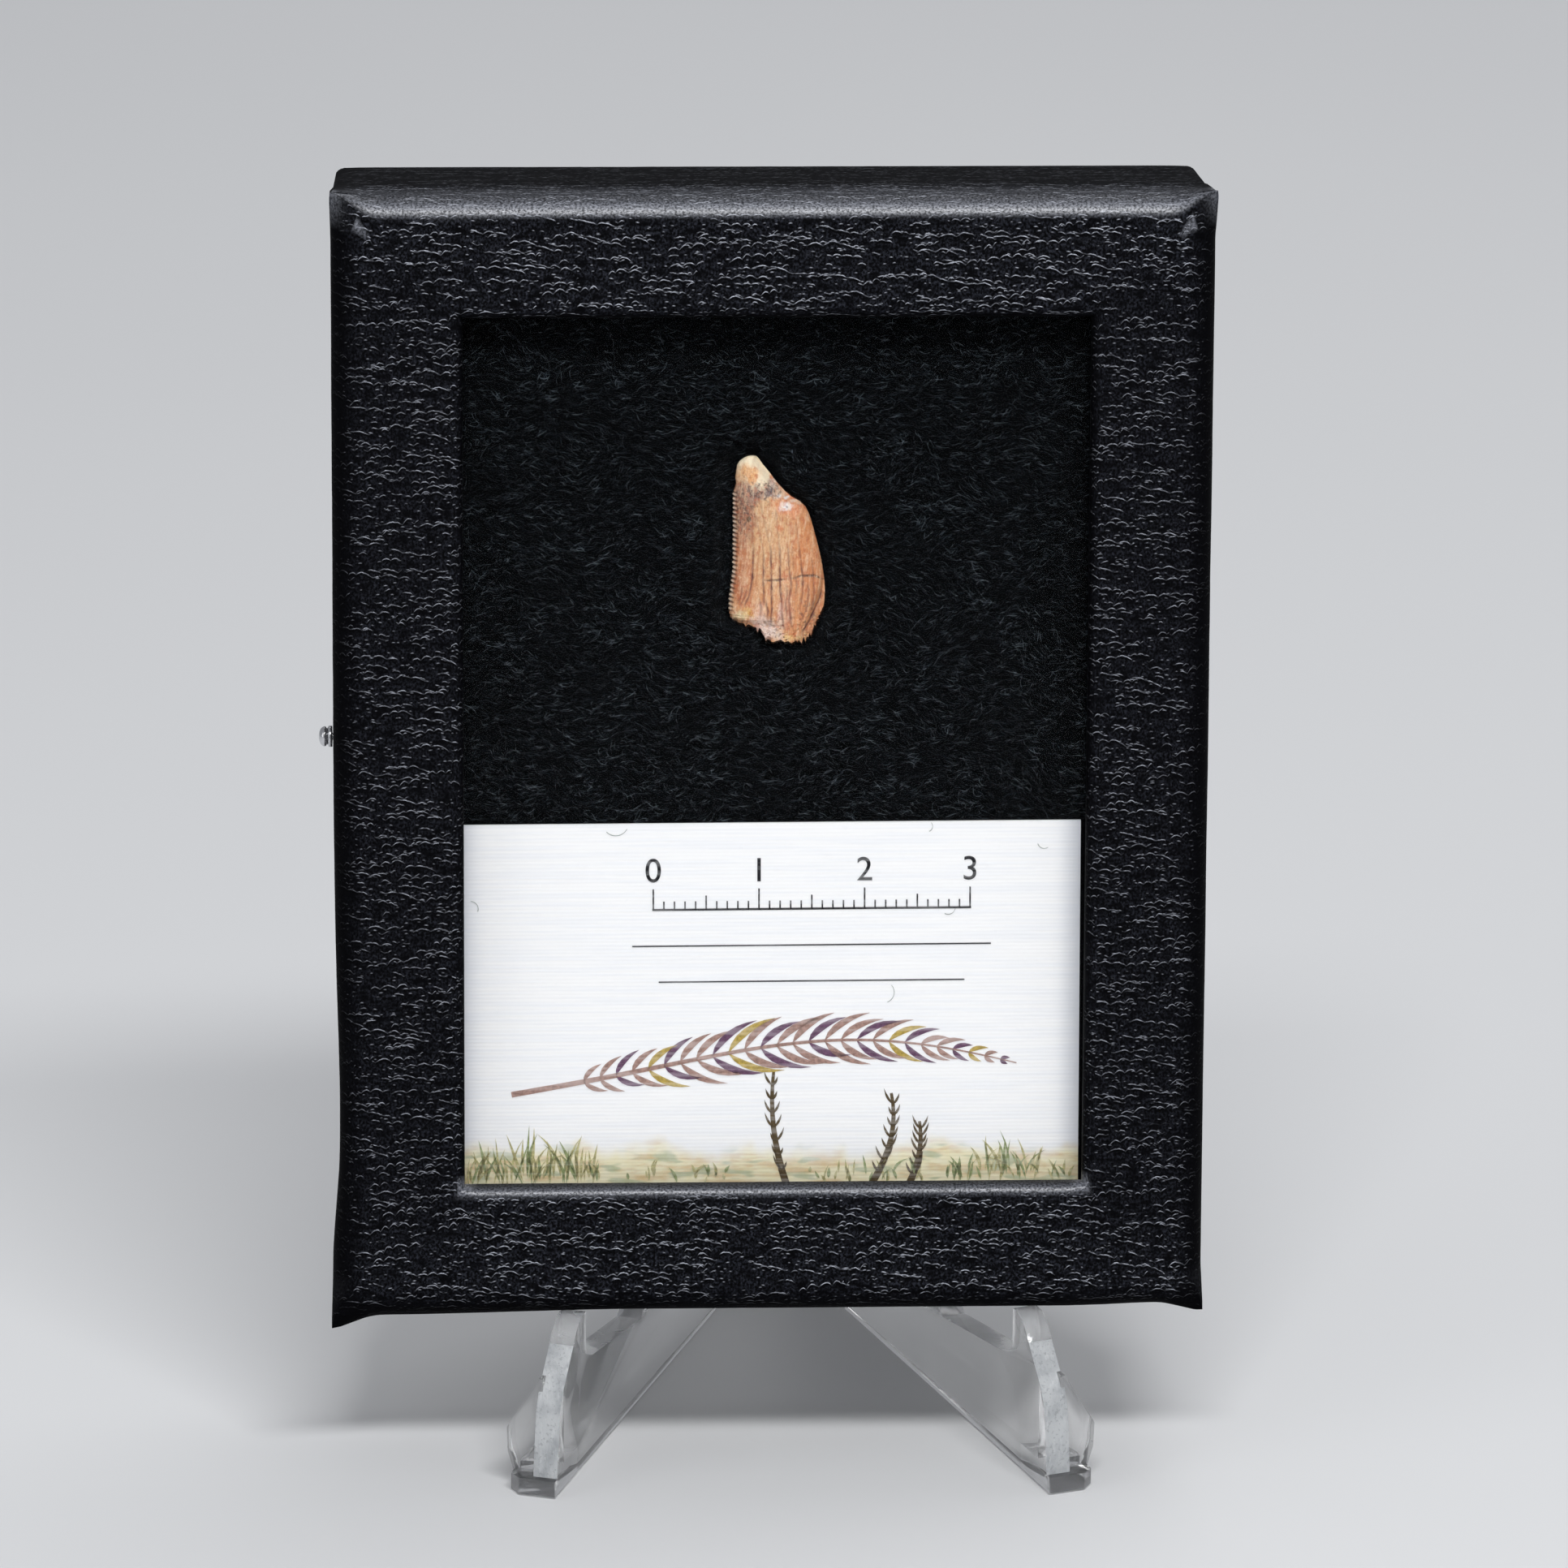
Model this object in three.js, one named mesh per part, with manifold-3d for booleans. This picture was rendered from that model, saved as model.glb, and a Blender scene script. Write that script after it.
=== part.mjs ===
// A fossil dinosaur tooth in its shallow, leather-covered display case, on a clear two-part easel.
// Millimetres, +Z up, the case's window faces -Y and its top leans back towards +Y.
import * as THREE from "three";
import { mergeVertices } from "three/addons/utils/BufferGeometryUtils.js";
import Module from "manifold-3d";

const wasm = await Module();
wasm.setup();

// ---- case: x to the right, s up the front, n back from the front face ----
const CASE_W = 82.55;
const CASE_H = 107.2;
const CASE_D = 19.05;
const LEAN = THREE.MathUtils.degToRad(5.64);
const CASE_X = -2.9; // the case stands a little left of the easel's middle
const CASE_Y = 7.1; // front bottom edge
const CASE_Z = 15.8;
const LID_TAPER = 0.6; // each side is this much nearer in at the back
const EDGE_R = 2.5; // round of the front edges
const TIP_R = 0.5; // the round that is left at the folded corners
const TIP_UP = 0.6;
const TIP_DOWN = 0.75;
const PANEL_T = 2.0;
const INNER_W = 78.4;
const INNER_H = 103.2;
const WINDOW_W = 58.6;
const WINDOW_H = 83.4;
const WINDOW_X = 0.34;
const WINDOW_S = 54.12;
const LIP_R = 1.1;
const GAP = 0.3;

// ---- what the case holds ----
const GLASS_N = PANEL_T + 0.2;
const GLASS_T = 1.8;
const TRAY_N = 4.3;
const TRAY_D = 14.1;
const TRAY_WALL = 1.4;
const CARD_W = 59.2;
const CARD_H = 38.35;
const CARD_T = 0.3;
const CARD_X = -0.15;
const CARD_TOP = 46.85;
const CARD_N = 4.3;
const CARD_TURN = THREE.MathUtils.degToRad(0.2);
const WAD_N = 4.4;
const WAD_CARD_N = 4.95;
const WAD_BED_N = 8.25;

// ---- tooth: measured from its middle ----
const TOOTH_X = 0.59;
const TOOTH_S = 73.2;
const TOOTH_N = 6.1;
const DENTICLE = 0.44;
const DENTICLE_OUT = 0.17;
const DENTICLES_FROM = -6.2;
const DENTICLES_TO = 5.24;
// [s, left edge, right edge, thickness]
const TOOTH_ROWS = [
  [-8.86, 0.1, 2.45, 1.1],
  [-8.66, -0.75, 3.02, 1.9],
  [-8.2, -1.42, 3.3, 2.5],
  [-7.75, -1.93, 3.53, 2.8],
  [-7.4, -2.02, 3.68, 3.0],
  [-7.04, -2.9, 3.84, 3.1],
  [-6.9, -3.95, 3.9, 3.15],
  [-6.55, -4.27, 4.06, 3.25],
  [-6.25, -4.45, 4.2, 3.3],
  [-5.79, -4.48, 4.42, 3.35],
  [-5.1, -4.46, 4.5, 3.4],
  [-3.98, -4.32, 4.52, 3.45],
  [-2.73, -4.17, 4.42, 3.45],
  [-1.85, -4.1, 4.3, 3.42],
  [-0.55, -4.1, 4.03, 3.38],
  [0.84, -4.1, 3.68, 3.3],
  [1.95, -4.1, 3.34, 3.2],
  [2.92, -4.11, 3.06, 3.05],
  [3.75, -4.12, 2.66, 2.9],
  [4.3, -4.12, 2.1, 2.8],
  [4.75, -4.12, 1.3, 2.7],
  [5.3, -4.1, 0.7, 2.6],
  [5.99, -3.9, 0.05, 2.45],
  [6.96, -3.95, -0.65, 2.2],
  [7.79, -3.81, -1.3, 1.9],
  [8.3, -3.55, -1.65, 1.55],
  [8.62, -3.15, -1.87, 1.1],
  [8.84, -2.72, -2.08, 0.6],
];

// ---- pin, pushed in through the left side ----
const PIN_S = 54.3;
const PIN_N = 9.5;
const PIN_SHANK_R = 0.35;
const PIN_HOLE_R = 0.65;
const PIN_LENGTH = 6.4;
const PIN_HEAD_X = -41.25;

// ---- easel: u back along a plate, v up, w outwards from its inner face ----
const TOE_IN = THREE.MathUtils.degToRad(19.44);
const FOOT_HALF = 23.5; // inner front corner, from the easel's middle
const PLATE_T = 2.4;
const UPRIGHT_U = 27.98; // front edge of the upright, level with the case's back bottom edge
const UPRIGHT_V = 13.93;
const UPRIGHT_TOP = 62;
const PLATE_END = 67.57;
const HINGE_U = 70.57;
const KNUCKLE_R = 2.6;
const PEG_R = 1.1;
const BORE_R = 1.4;
const KNUCKLES = [0, 5, 5.3, 10.9, 11.2, 16.2]; // lower, middle and upper knuckle, bottom and top
const PAD_H = 1.6;

const leatherette = () => new THREE.MeshStandardMaterial({ color: 0x17191d, roughness: 0.55, metalness: 0 });
const blackPaper = () => new THREE.MeshStandardMaterial({ color: 0x121315, roughness: 0.85, metalness: 0 });
const glass = () =>
  new THREE.MeshStandardMaterial({
    color: 0xe8f1ee, roughness: 0.05, metalness: 0, transparent: true, opacity: 0.18,
  });
const cotton = () => new THREE.MeshStandardMaterial({ color: 0x0e1317, roughness: 1, metalness: 0 });
const card = () => new THREE.MeshStandardMaterial({ color: 0xf2f4f7, roughness: 0.8, metalness: 0 });
const fossil = () => new THREE.MeshStandardMaterial({ color: 0xc98a5c, roughness: 0.45, metalness: 0 });
const steel = () => new THREE.MeshStandardMaterial({ color: 0xb9bcc0, roughness: 0.25, metalness: 1 });
const acrylic = () =>
  new THREE.MeshStandardMaterial({
    color: 0xe6ebee, roughness: 0.12, metalness: 0, transparent: true, opacity: 0.4,
  });

// Straight-line reading of column k of a table that is sorted by its first column.
function table(rows, at, k) {
  if (at <= rows[0][0]) return rows[0][k];
  for (let i = 1; i < rows.length; i++) {
    if (at > rows[i][0]) continue;
    const t = (at - rows[i - 1][0]) / (rows[i][0] - rows[i - 1][0]);
    return rows[i - 1][k] * (1 - t) + rows[i][k] * t;
  }
  return rows[rows.length - 1][k];
}

const smooth = (a, b, x) => {
  const t = Math.min(1, Math.max(0, (x - a) / (b - a)));
  return t * t * (3 - 2 * t);
};

// A three.js geometry as a solid, turned right side out where its faces point in.
function solid(geometry) {
  const g = geometry.clone();
  g.deleteAttribute("normal");
  g.deleteAttribute("uv");
  const merged = mergeVertices(g, 1e-5);
  const make = (tri) =>
    new wasm.Manifold(
      new wasm.Mesh({ numProp: 3, vertProperties: merged.attributes.position.array, triVerts: tri }),
    );
  const tri = new Uint32Array(merged.index.array);
  const made = make(tri);
  if (made.volume() >= 0) return made;
  for (let i = 0; i < tri.length; i += 3) [tri[i + 1], tri[i + 2]] = [tri[i + 2], tri[i + 1]];
  return make(tri);
}

// A solid as a named mesh.
function piece(name, body, material) {
  const m = body.getMesh();
  const v = new Float32Array(m.numVert * 3);
  for (let i = 0; i < m.numVert; i++)
    v.set(m.vertProperties.subarray(i * m.numProp, i * m.numProp + 3), i * 3);
  const g = new THREE.BufferGeometry();
  g.setAttribute("position", new THREE.BufferAttribute(v, 3));
  g.setIndex(new THREE.BufferAttribute(new Uint32Array(m.triVerts), 1));
  g.computeVertexNormals();
  const mesh = new THREE.Mesh(g, material);
  mesh.name = name;
  return mesh;
}

// A skin over rings of equal point counts, closed by a fan at each end.
function loft(rings) {
  const count = rings[0].length;
  const pos = rings.flat(2);
  const tri = [];
  for (let r = 0; r < rings.length - 1; r++)
    for (let i = 0; i < count; i++) {
      const j = (i + 1) % count;
      const [a, b, c, d] = [r * count + i, r * count + j, (r + 1) * count + j, (r + 1) * count + i];
      tri.push(a, b, c, a, c, d);
    }
  [0, rings.length - 1].forEach((r, end) => {
    const mid = [0, 1, 2].map((k) => rings[r].reduce((sum, p) => sum + p[k], 0) / count);
    const m = pos.push(...mid) / 3 - 1;
    for (let i = 0; i < count; i++) {
      const [a, b] = [r * count + i, r * count + ((i + 1) % count)];
      tri.push(...(end ? [a, b, m] : [b, a, m]));
    }
  });
  const g = new THREE.BufferGeometry();
  g.setAttribute("position", new THREE.BufferAttribute(new Float32Array(pos), 3));
  g.setIndex(tri);
  return g;
}

// A block between two corners of the case's own axes.
function block(x0, x1, n0, n1, s0, s1) {
  const g = new THREE.BoxGeometry(x1 - x0, n1 - n0, s1 - s0);
  g.translate((x0 + x1) / 2, (n0 + n1) / 2, (s0 + s1) / 2);
  return solid(g);
}

// A round bar along x.
function barX(r, x0, x1, n, s, sides = 16) {
  const g = new THREE.CylinderGeometry(r, r, x1 - x0, sides);
  g.rotateZ(Math.PI / 2);
  g.translate((x0 + x1) / 2, n, s);
  return solid(g);
}

// How far the rounded edge stands in from the side at depth n, for a round of radius r.
const roundIn = (r, n) => (n >= r ? 0 : r - Math.sqrt(Math.max(0, r * r - (r - n) * (r - n))));

// One ring of the lid's outside at depth n. The round runs out into a small point at each corner.
function lidRing(n) {
  const hx = CASE_W / 2 - (LID_TAPER * n) / CASE_D;
  const hs = CASE_H / 2 - (LID_TAPER * n) / CASE_D;
  const rc = 0.35 + (1.3 * n) / CASE_D;
  const lift = smooth(7, 2.5, n);
  const ring = [];
  const put = (x, s) => {
    const away = Math.hypot(hx - Math.abs(x), hs - Math.abs(s));
    const r = TIP_R + (EDGE_R - TIP_R) * smooth(0.5, 4.5, away);
    const k = roundIn(r, n);
    const onSide = hx - Math.abs(x) < hs - Math.abs(s);
    const corner = away < 1.2;
    const up = Math.exp(-((away / 2.2) ** 2)) * lift * (s > 0 ? TIP_UP : -TIP_DOWN);
    const px = x - Math.sign(x) * (onSide || corner ? k : 0);
    const ps = s - Math.sign(s) * (!onSide || corner ? k : 0) + up;
    ring.push([px, n, CASE_H / 2 + ps]);
  };
  const along = [0.9, 1.9, 3.2, 4.8, 9];
  [[1, 1], [-1, 1], [-1, -1], [1, -1]].forEach(([cx, cs], q) => {
    const [ox, os] = [cx * (hx - rc), cs * (hs - rc)];
    for (let i = 0; i <= 3; i++) {
      const a = (Math.PI / 2) * (q + i / 3);
      put(ox + rc * Math.cos(a), os + rc * Math.sin(a));
    }
    const flat = q % 2 === 0;
    const half = (flat ? hx : hs) - rc;
    for (const d of [...along, half, ...along.map((a) => 2 * half - a).reverse()])
      put(flat ? ox - cx * d : cx * hx, flat ? cs * hs : os - cs * d);
  });
  return ring;
}

function windowRing(n, grow) {
  const hx = WINDOW_W / 2 + grow;
  const hs = WINDOW_H / 2 + grow;
  return [[1, 1], [-1, 1], [-1, -1], [1, -1]].map(([a, b]) => [WINDOW_X + a * hx, n, WINDOW_S + b * hs]);
}

function makeLid() {
  const outside = loft([0, 0.12, 0.4, 0.9, 1.6, 2.5, 4, 7, 12, CASE_D].map(lidRing));
  const lipRounds = [0, 0.1, 0.35, 0.7, LIP_R].map((n) => windowRing(n, roundIn(LIP_R, n)));
  const window = loft([windowRing(-0.5, LIP_R), ...lipRounds, windowRing(PANEL_T + 0.5, 0)]);
  const hollow = block(
    -INNER_W / 2, INNER_W / 2, PANEL_T, CASE_D + 1, (CASE_H - INNER_H) / 2, (CASE_H + INNER_H) / 2,
  );
  const hole = barX(PIN_HOLE_R, -45, -35, PIN_N, PIN_S);
  return solid(outside).subtract(solid(window)).subtract(hollow).subtract(hole);
}

// Half sizes of what slides into the lid.
const FIT_X = INNER_W / 2 - GAP;
const FIT_S = INNER_H / 2 - GAP;
const MID_S = CASE_H / 2;

const makeGlass = () => block(-FIT_X, FIT_X, GLASS_N, GLASS_N + GLASS_T, MID_S - FIT_S, MID_S + FIT_S);

function makeTray() {
  const back = TRAY_N + TRAY_D;
  const [ix, is] = [FIT_X - TRAY_WALL, FIT_S - TRAY_WALL];
  const shell = block(-FIT_X, FIT_X, TRAY_N, back, MID_S - FIT_S, MID_S + FIT_S);
  const inside = block(-ix, ix, TRAY_N - 1, back - TRAY_WALL, MID_S - is, MID_S + is);
  return shell.subtract(inside).subtract(barX(PIN_HOLE_R, -45, -ix + 1, PIN_N, PIN_S));
}

function makeCard() {
  const g = new THREE.BoxGeometry(CARD_W, CARD_T, CARD_H);
  g.rotateY(-CARD_TURN);
  g.translate(CARD_X, CARD_N + CARD_T / 2, CARD_TOP - CARD_H / 2);
  return solid(g);
}

// Distance outside the tooth's outline, below 0 inside it.
function offTooth(x, s) {
  const ts = s - TOOTH_S;
  const tx = x - TOOTH_X;
  const at = Math.min(8.8, Math.max(-8.6, ts));
  const across = Math.max(table(TOOTH_ROWS, at, 1) - tx, tx - table(TOOTH_ROWS, at, 2));
  return Math.max(across, ts - 8.84, -8.86 - ts);
}

function wadFront(x, s) {
  const bed = WAD_BED_N + (WAD_N - WAD_BED_N) * smooth(0.9, 3.6, offTooth(x, s));
  const overCard = Math.max(Math.abs(x - CARD_X) - CARD_W / 2, s - CARD_TOP) - 0.7;
  return Math.max(bed, WAD_CARD_N + (WAD_N - WAD_CARD_N) * smooth(0, 1.4, overCard));
}

// Grid lines from a to b, close together between c and d, with the extra ones given.
function lines(a, b, c, d, coarse, fine, extra) {
  const out = [...extra];
  const run = (from, to, step) => {
    const k = Math.ceil((to - from) / step);
    for (let i = 0; i < k; i++) out.push(from + ((to - from) * i) / k);
  };
  run(a, c, coarse);
  run(c, d, fine);
  run(d, b, coarse);
  return [...out, b].sort((p, q) => p - q);
}

function makeWadding() {
  const hx = FIT_X - TRAY_WALL - GAP;
  const hs = FIT_S - TRAY_WALL - GAP;
  const back = TRAY_N + TRAY_D - TRAY_WALL - GAP;
  const cardEdge = [CARD_X - CARD_W / 2 - 0.72, CARD_X + CARD_W / 2 + 0.72];
  const xs = lines(
    -hx, hx, TOOTH_X - 8, TOOTH_X + 8, 6, 1.15, [...cardEdge, cardEdge[0] - 1.4, cardEdge[1] + 1.4],
  );
  const ss = lines(
    MID_S - hs, MID_S + hs, TOOTH_S - 12.5, TOOTH_S + 12.5, 6, 1.2, [CARD_TOP + 0.72, CARD_TOP + 2.1],
  );
  const [nx, ns] = [xs.length, ss.length];
  const pos = [];
  const tri = [];
  for (const s of ss) for (const x of xs) pos.push(x, wadFront(x, s), s);
  const id = (i, j) => j * nx + i;
  for (let j = 0; j < ns - 1; j++)
    for (let i = 0; i < nx - 1; i++)
      tri.push(id(i, j), id(i + 1, j), id(i + 1, j + 1), id(i, j), id(i + 1, j + 1), id(i, j + 1));
  const rim = [];
  for (let i = 0; i < nx - 1; i++) rim.push(id(i, 0));
  for (let j = 0; j < ns - 1; j++) rim.push(id(nx - 1, j));
  for (let i = nx - 1; i > 0; i--) rim.push(id(i, ns - 1));
  for (let j = ns - 1; j > 0; j--) rim.push(id(0, j));
  const under = pos.length / 3;
  for (const k of rim) pos.push(pos[3 * k], back, pos[3 * k + 2]);
  const middle = pos.push(0, back, MID_S) / 3 - 1;
  rim.forEach((k, i) => {
    const m = (i + 1) % rim.length;
    tri.push(k, under + i, under + m, k, under + m, rim[m], under + i, middle, under + m);
  });
  const g = new THREE.BufferGeometry();
  g.setAttribute("position", new THREE.BufferAttribute(new Float32Array(pos), 3));
  g.setIndex(tri);
  return solid(g).subtract(barX(PIN_HOLE_R, -45, PIN_HEAD_X + PIN_LENGTH + GAP, PIN_N, PIN_S));
}

// One cross-section of the tooth: a lens, fullest a little left of its middle.
function toothRing(s) {
  const beaded = s > DENTICLES_FROM && s < DENTICLES_TO;
  const beat = beaded ? Math.abs(Math.sin((Math.PI * (s - DENTICLES_FROM)) / DENTICLE)) : 0;
  const x0 = table(TOOTH_ROWS, s, 1) - DENTICLE_OUT * (beat - 0.5);
  const x1 = table(TOOTH_ROWS, s, 2);
  const half = table(TOOTH_ROWS, s, 3) / 2;
  const across = [0, 0.035, 0.12, 0.27, 0.46, 0.66, 0.84, 0.955, 1];
  const bulge = (t) => half * Math.min(1, Math.max(0.1, Math.sin(Math.PI * t ** 0.9) ** 0.62));
  const front = across.map((t) => [x0 + (x1 - x0) * t, -bulge(t)]);
  const back = across.slice(1, -1).reverse().map((t) => [x0 + (x1 - x0) * t, bulge(t)]);
  return [...front, ...back].map(([x, n]) => [TOOTH_X + x, TOOTH_N + n, TOOTH_S + s]);
}

function makeTooth() {
  const at = TOOTH_ROWS.map((r) => r[0]).filter((s) => s <= DENTICLES_FROM || s >= DENTICLES_TO);
  const steps = Math.round((DENTICLES_TO - DENTICLES_FROM) / DENTICLE) * 4;
  for (let i = 0; i <= steps; i++)
    at.push(DENTICLES_FROM + ((DENTICLES_TO - DENTICLES_FROM) * i) / steps);
  at.sort((a, b) => a - b);
  return solid(loft(at.filter((s, i) => !i || s - at[i - 1] > 0.03).map(toothRing)));
}

function makePin() {
  const profile = [[0, 0], [0.5, 0.02], [0.78, 0.14], [0.93, 0.36], [0.98, 0.6], [0.86, 0.78],
    [0.86, 0.9], [1.02, 0.98], [1.02, 1.26], [PIN_SHANK_R, 1.3], [PIN_SHANK_R, PIN_LENGTH],
    [0, 1.3 + PIN_LENGTH]];
  const g = new THREE.LatheGeometry(profile.map(([r, h]) => new THREE.Vector2(r, h)), 24);
  g.rotateZ(-Math.PI / 2);
  g.translate(PIN_HEAD_X - 1.3, PIN_N, PIN_S);
  return solid(g);
}

// The outline of an easel plate: arm, lip, ledge, upright, rear edge, flat bottom.
function plateOutline() {
  const lean = Math.tan(LEAN) / Math.cos(TOE_IN);
  const front = (v) => [UPRIGHT_U + (v - UPRIGHT_V) * lean, v];
  const top = front(UPRIGHT_TOP)[0];
  return [
    [0.7, 0], [0.8, 2], [1.25, 5.6], [1.65, 8.2], [2.6, 10], [4.0, 11.5], [5.6, 13.35], [6.3, 14.3],
    [7.1, 15], [8.1, 15.4], [9.45, 15.45], [9.45, 11.65], [9.9, 10.85], [11.4, 10.25], [26.6, 8.27],
    front(9), front(UPRIGHT_TOP), [top + 0.6, UPRIGHT_TOP + 2.4], [top + 2, UPRIGHT_TOP + 3.8],
    [top + 3.8, UPRIGHT_TOP + 3.9], [top + 5.2, UPRIGHT_TOP + 2.8], [top + 5.9, UPRIGHT_TOP + 1],
    [41, 53], [44.4, 42], [49.2, 31.5], [54.8, 23.6], [60.4, 18.9], [64.5, 17], [PLATE_END, 16.6],
    [PLATE_END, 0],
  ];
}

// An outline of [a, b] pairs drawn out from c0 to c1, with the three axes named by order.
function slab(outline, c0, c1, order) {
  const shape = new THREE.Shape(outline.map(([a, b]) => new THREE.Vector2(a, b)));
  const g = new THREE.ExtrudeGeometry(shape, { depth: c1 - c0, bevelEnabled: false });
  const p = g.attributes.position;
  for (let i = 0; i < p.count; i++) {
    const at = { a: p.getX(i), b: p.getY(i), c: c0 + p.getZ(i) };
    p.setXYZ(i, at[order[0]], at[order[1]], at[order[2]]);
  }
  return solid(g);
}

// A plate with its foot pad and side gusset in plate axes (u, w, v).
function makePlate() {
  const web = slab(plateOutline(), 0, PLATE_T, "acb");
  const pad = slab([[0, 0], [9, 0], [9, PLATE_T], [5.6, 4.7], [1, 4.7], [0, 3.6]], 0, PAD_H, "abc");
  const gusset = slab(
    [[2, 0.6], [4.7, 0.6], [5.5, 3.2], [5.6, 5.6], [PLATE_T, 10.9], [2, 10.9]], 2.4, 4.9, "cab",
  );
  return web.add(pad).add(gusset);
}

function knuckle(bottom, top, r = KNUCKLE_R) {
  const g = new THREE.CylinderGeometry(r, r, top - bottom, 24);
  g.rotateX(Math.PI / 2);
  g.translate(HINGE_U, 0, (bottom + top) / 2);
  return solid(g);
}

const strap = (v0, v1) => block(PLATE_END - 1.5, HINGE_U - 0.6, 0.15, PLATE_T - 0.15, v0, v1);

// Plate axes to the easel's own, for the left (-1) or right (+1) half.
function seatPlate(body, side) {
  const [c, s] = [Math.cos(TOE_IN), Math.sin(TOE_IN)];
  const g = piece("plate", body, null).geometry;
  const p = g.attributes.position;
  for (let i = 0; i < p.count; i++) {
    const [u, w, v] = [p.getX(i), p.getY(i), p.getZ(i)];
    p.setXYZ(i, side * (FOOT_HALF - u * s + w * c), u * c + w * s, v);
  }
  return solid(g);
}

function makeEaselLeft() {
  const [a0, a1, , , c0, c1] = KNUCKLES;
  const body = makePlate()
    .add(knuckle(a0, a1)).add(strap(a0, a1))
    .add(knuckle(c0, c1)).add(strap(c0, c1))
    .add(knuckle(a1 - 0.5, c0 + 0.5, PEG_R));
  return seatPlate(body, -1);
}

function makeEaselRight() {
  const [, , b0, b1] = KNUCKLES;
  const body = makePlate().add(knuckle(b0, b1)).add(strap(b0, b1));
  return seatPlate(body.subtract(knuckle(b0 - 1, b1 + 1, BORE_R)), 1);
}

const display = new THREE.Group();
display.add(
  piece("lid", makeLid(), leatherette()),
  piece("glass_pane", makeGlass(), glass()),
  piece("tray", makeTray(), blackPaper()),
  piece("wadding", makeWadding(), cotton()),
  piece("label_card", makeCard(), card()),
  piece("tooth", makeTooth(), fossil()),
  piece("lid_pin", makePin(), steel()),
);
display.rotation.x = -LEAN;
display.position.set(CASE_X, CASE_Y, CASE_Z);

const group = new THREE.Group();
group.add(
  display,
  piece("easel_left", makeEaselLeft(), acrylic()),
  piece("easel_right", makeEaselRight(), acrylic()),
);

// The origin is the middle of the whole part's box, on the surface that it stands on.
group.updateMatrixWorld(true);
const box = new THREE.Box3().setFromObject(group, true);
const shift = new THREE.Vector3(-(box.min.x + box.max.x) / 2, -(box.min.y + box.max.y) / 2, -box.min.z);
group.children.forEach((child) => child.position.add(shift));
group.updateMatrixWorld(true);

export default group;
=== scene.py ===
import math
import random

import bmesh
import bpy
import numpy as np
from mathutils import Matrix, Vector, noise


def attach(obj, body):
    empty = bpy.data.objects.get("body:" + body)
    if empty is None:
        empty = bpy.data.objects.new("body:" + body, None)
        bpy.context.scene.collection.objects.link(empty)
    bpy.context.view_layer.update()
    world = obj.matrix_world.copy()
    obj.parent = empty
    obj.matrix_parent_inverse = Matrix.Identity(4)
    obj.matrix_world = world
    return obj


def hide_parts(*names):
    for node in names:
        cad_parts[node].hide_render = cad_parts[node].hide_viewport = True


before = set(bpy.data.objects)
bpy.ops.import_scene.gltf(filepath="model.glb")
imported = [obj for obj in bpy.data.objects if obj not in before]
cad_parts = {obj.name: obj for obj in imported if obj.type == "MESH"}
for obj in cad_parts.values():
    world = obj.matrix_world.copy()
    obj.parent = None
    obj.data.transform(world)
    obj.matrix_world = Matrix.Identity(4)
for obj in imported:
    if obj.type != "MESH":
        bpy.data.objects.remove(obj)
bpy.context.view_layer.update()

MM = 0.001

# ---- Camera ----
# A long lens a little left of the middle, looking down on the case at about eighteen degrees.
AIM = Vector((1.165, -34.57, 71.157)) * MM
CAMERA_DISTANCE = 882.16 * MM
CAMERA_LENS, CAMERA_FILM = 218.89, 36
CAMERA_ROUND = math.radians(-2.664)
CAMERA_UP = math.radians(18.304)
CAMERA_ROLL = math.radians(0.536)


def into_scene(name, data):
    """A new object in the scene, with its mesh, light or lens."""
    piece = bpy.data.objects.new(name, data)
    bpy.context.collection.objects.link(piece)
    return piece


def set_up_camera():
    lens = bpy.data.cameras.new("camera")
    lens.sensor_width = CAMERA_FILM
    lens.lens = CAMERA_LENS
    lens.clip_start, lens.clip_end = 0.05, 20
    camera = into_scene("camera", lens)
    right = Vector((math.cos(CAMERA_ROUND), math.sin(CAMERA_ROUND), 0))
    level = Vector((right.y, -right.x, 0))
    back = level * math.cos(CAMERA_UP) + Vector((0, 0, math.sin(CAMERA_UP)))
    up = back.cross(right)
    right, up = (
        math.cos(CAMERA_ROLL) * right + math.sin(CAMERA_ROLL) * up,
        math.cos(CAMERA_ROLL) * up - math.sin(CAMERA_ROLL) * right,
    )
    turn = Matrix((right, up, back)).transposed()
    camera.matrix_world = Matrix.Translation(AIM + CAMERA_DISTANCE * back) @ turn.to_4x4()
    bpy.context.scene.camera = camera


set_up_camera()

# ---- Lid ----
# A shallow box of card covered in black embossed leatherette, open at the back. The covering is
# folded to a small point at each front corner and turned in round the window.
LEAN = math.radians(5.64)
CASE_AT = Vector((0.6488, -27.4695, 15.8)) * MM
CASE_W, CASE_H, CASE_D = 82.55, 107.2, 19.05
MID_S = CASE_H / 2
PANEL_T = 2.0
INNER_W, INNER_H = 78.4, 103.2
WINDOW_W, WINDOW_H = 58.6, 83.4
WINDOW_X, WINDOW_S = 0.34, 54.12
# radii of the front edge, its pinched tips, the window's lip, the upright corners and the back rim
EDGE_R, TIP_R, LIP_R, UPRIGHT_R, RIM_R = 2.5, 0.5, 1.1, 0.8, 0.3
# the upright corners' radius at the back
BACK_R = 1.8
# how far the tips stand up at the top and hang at the foot, and how far from a corner they reach
TIP_UP, TIP_DOWN, TIP_REACH = 0.6, 0.75, 8
# how much the sides and the foot draw in towards the back
TAPER = 0.6
# where the left edge is drawn in most, over what height, and how far
BOW_S, BOW_HIGH, BOW = 20, 13, 0.42
PIN_S, PIN_N, PIN_HOLE_R = 54.3, 9.5, 0.65


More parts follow.
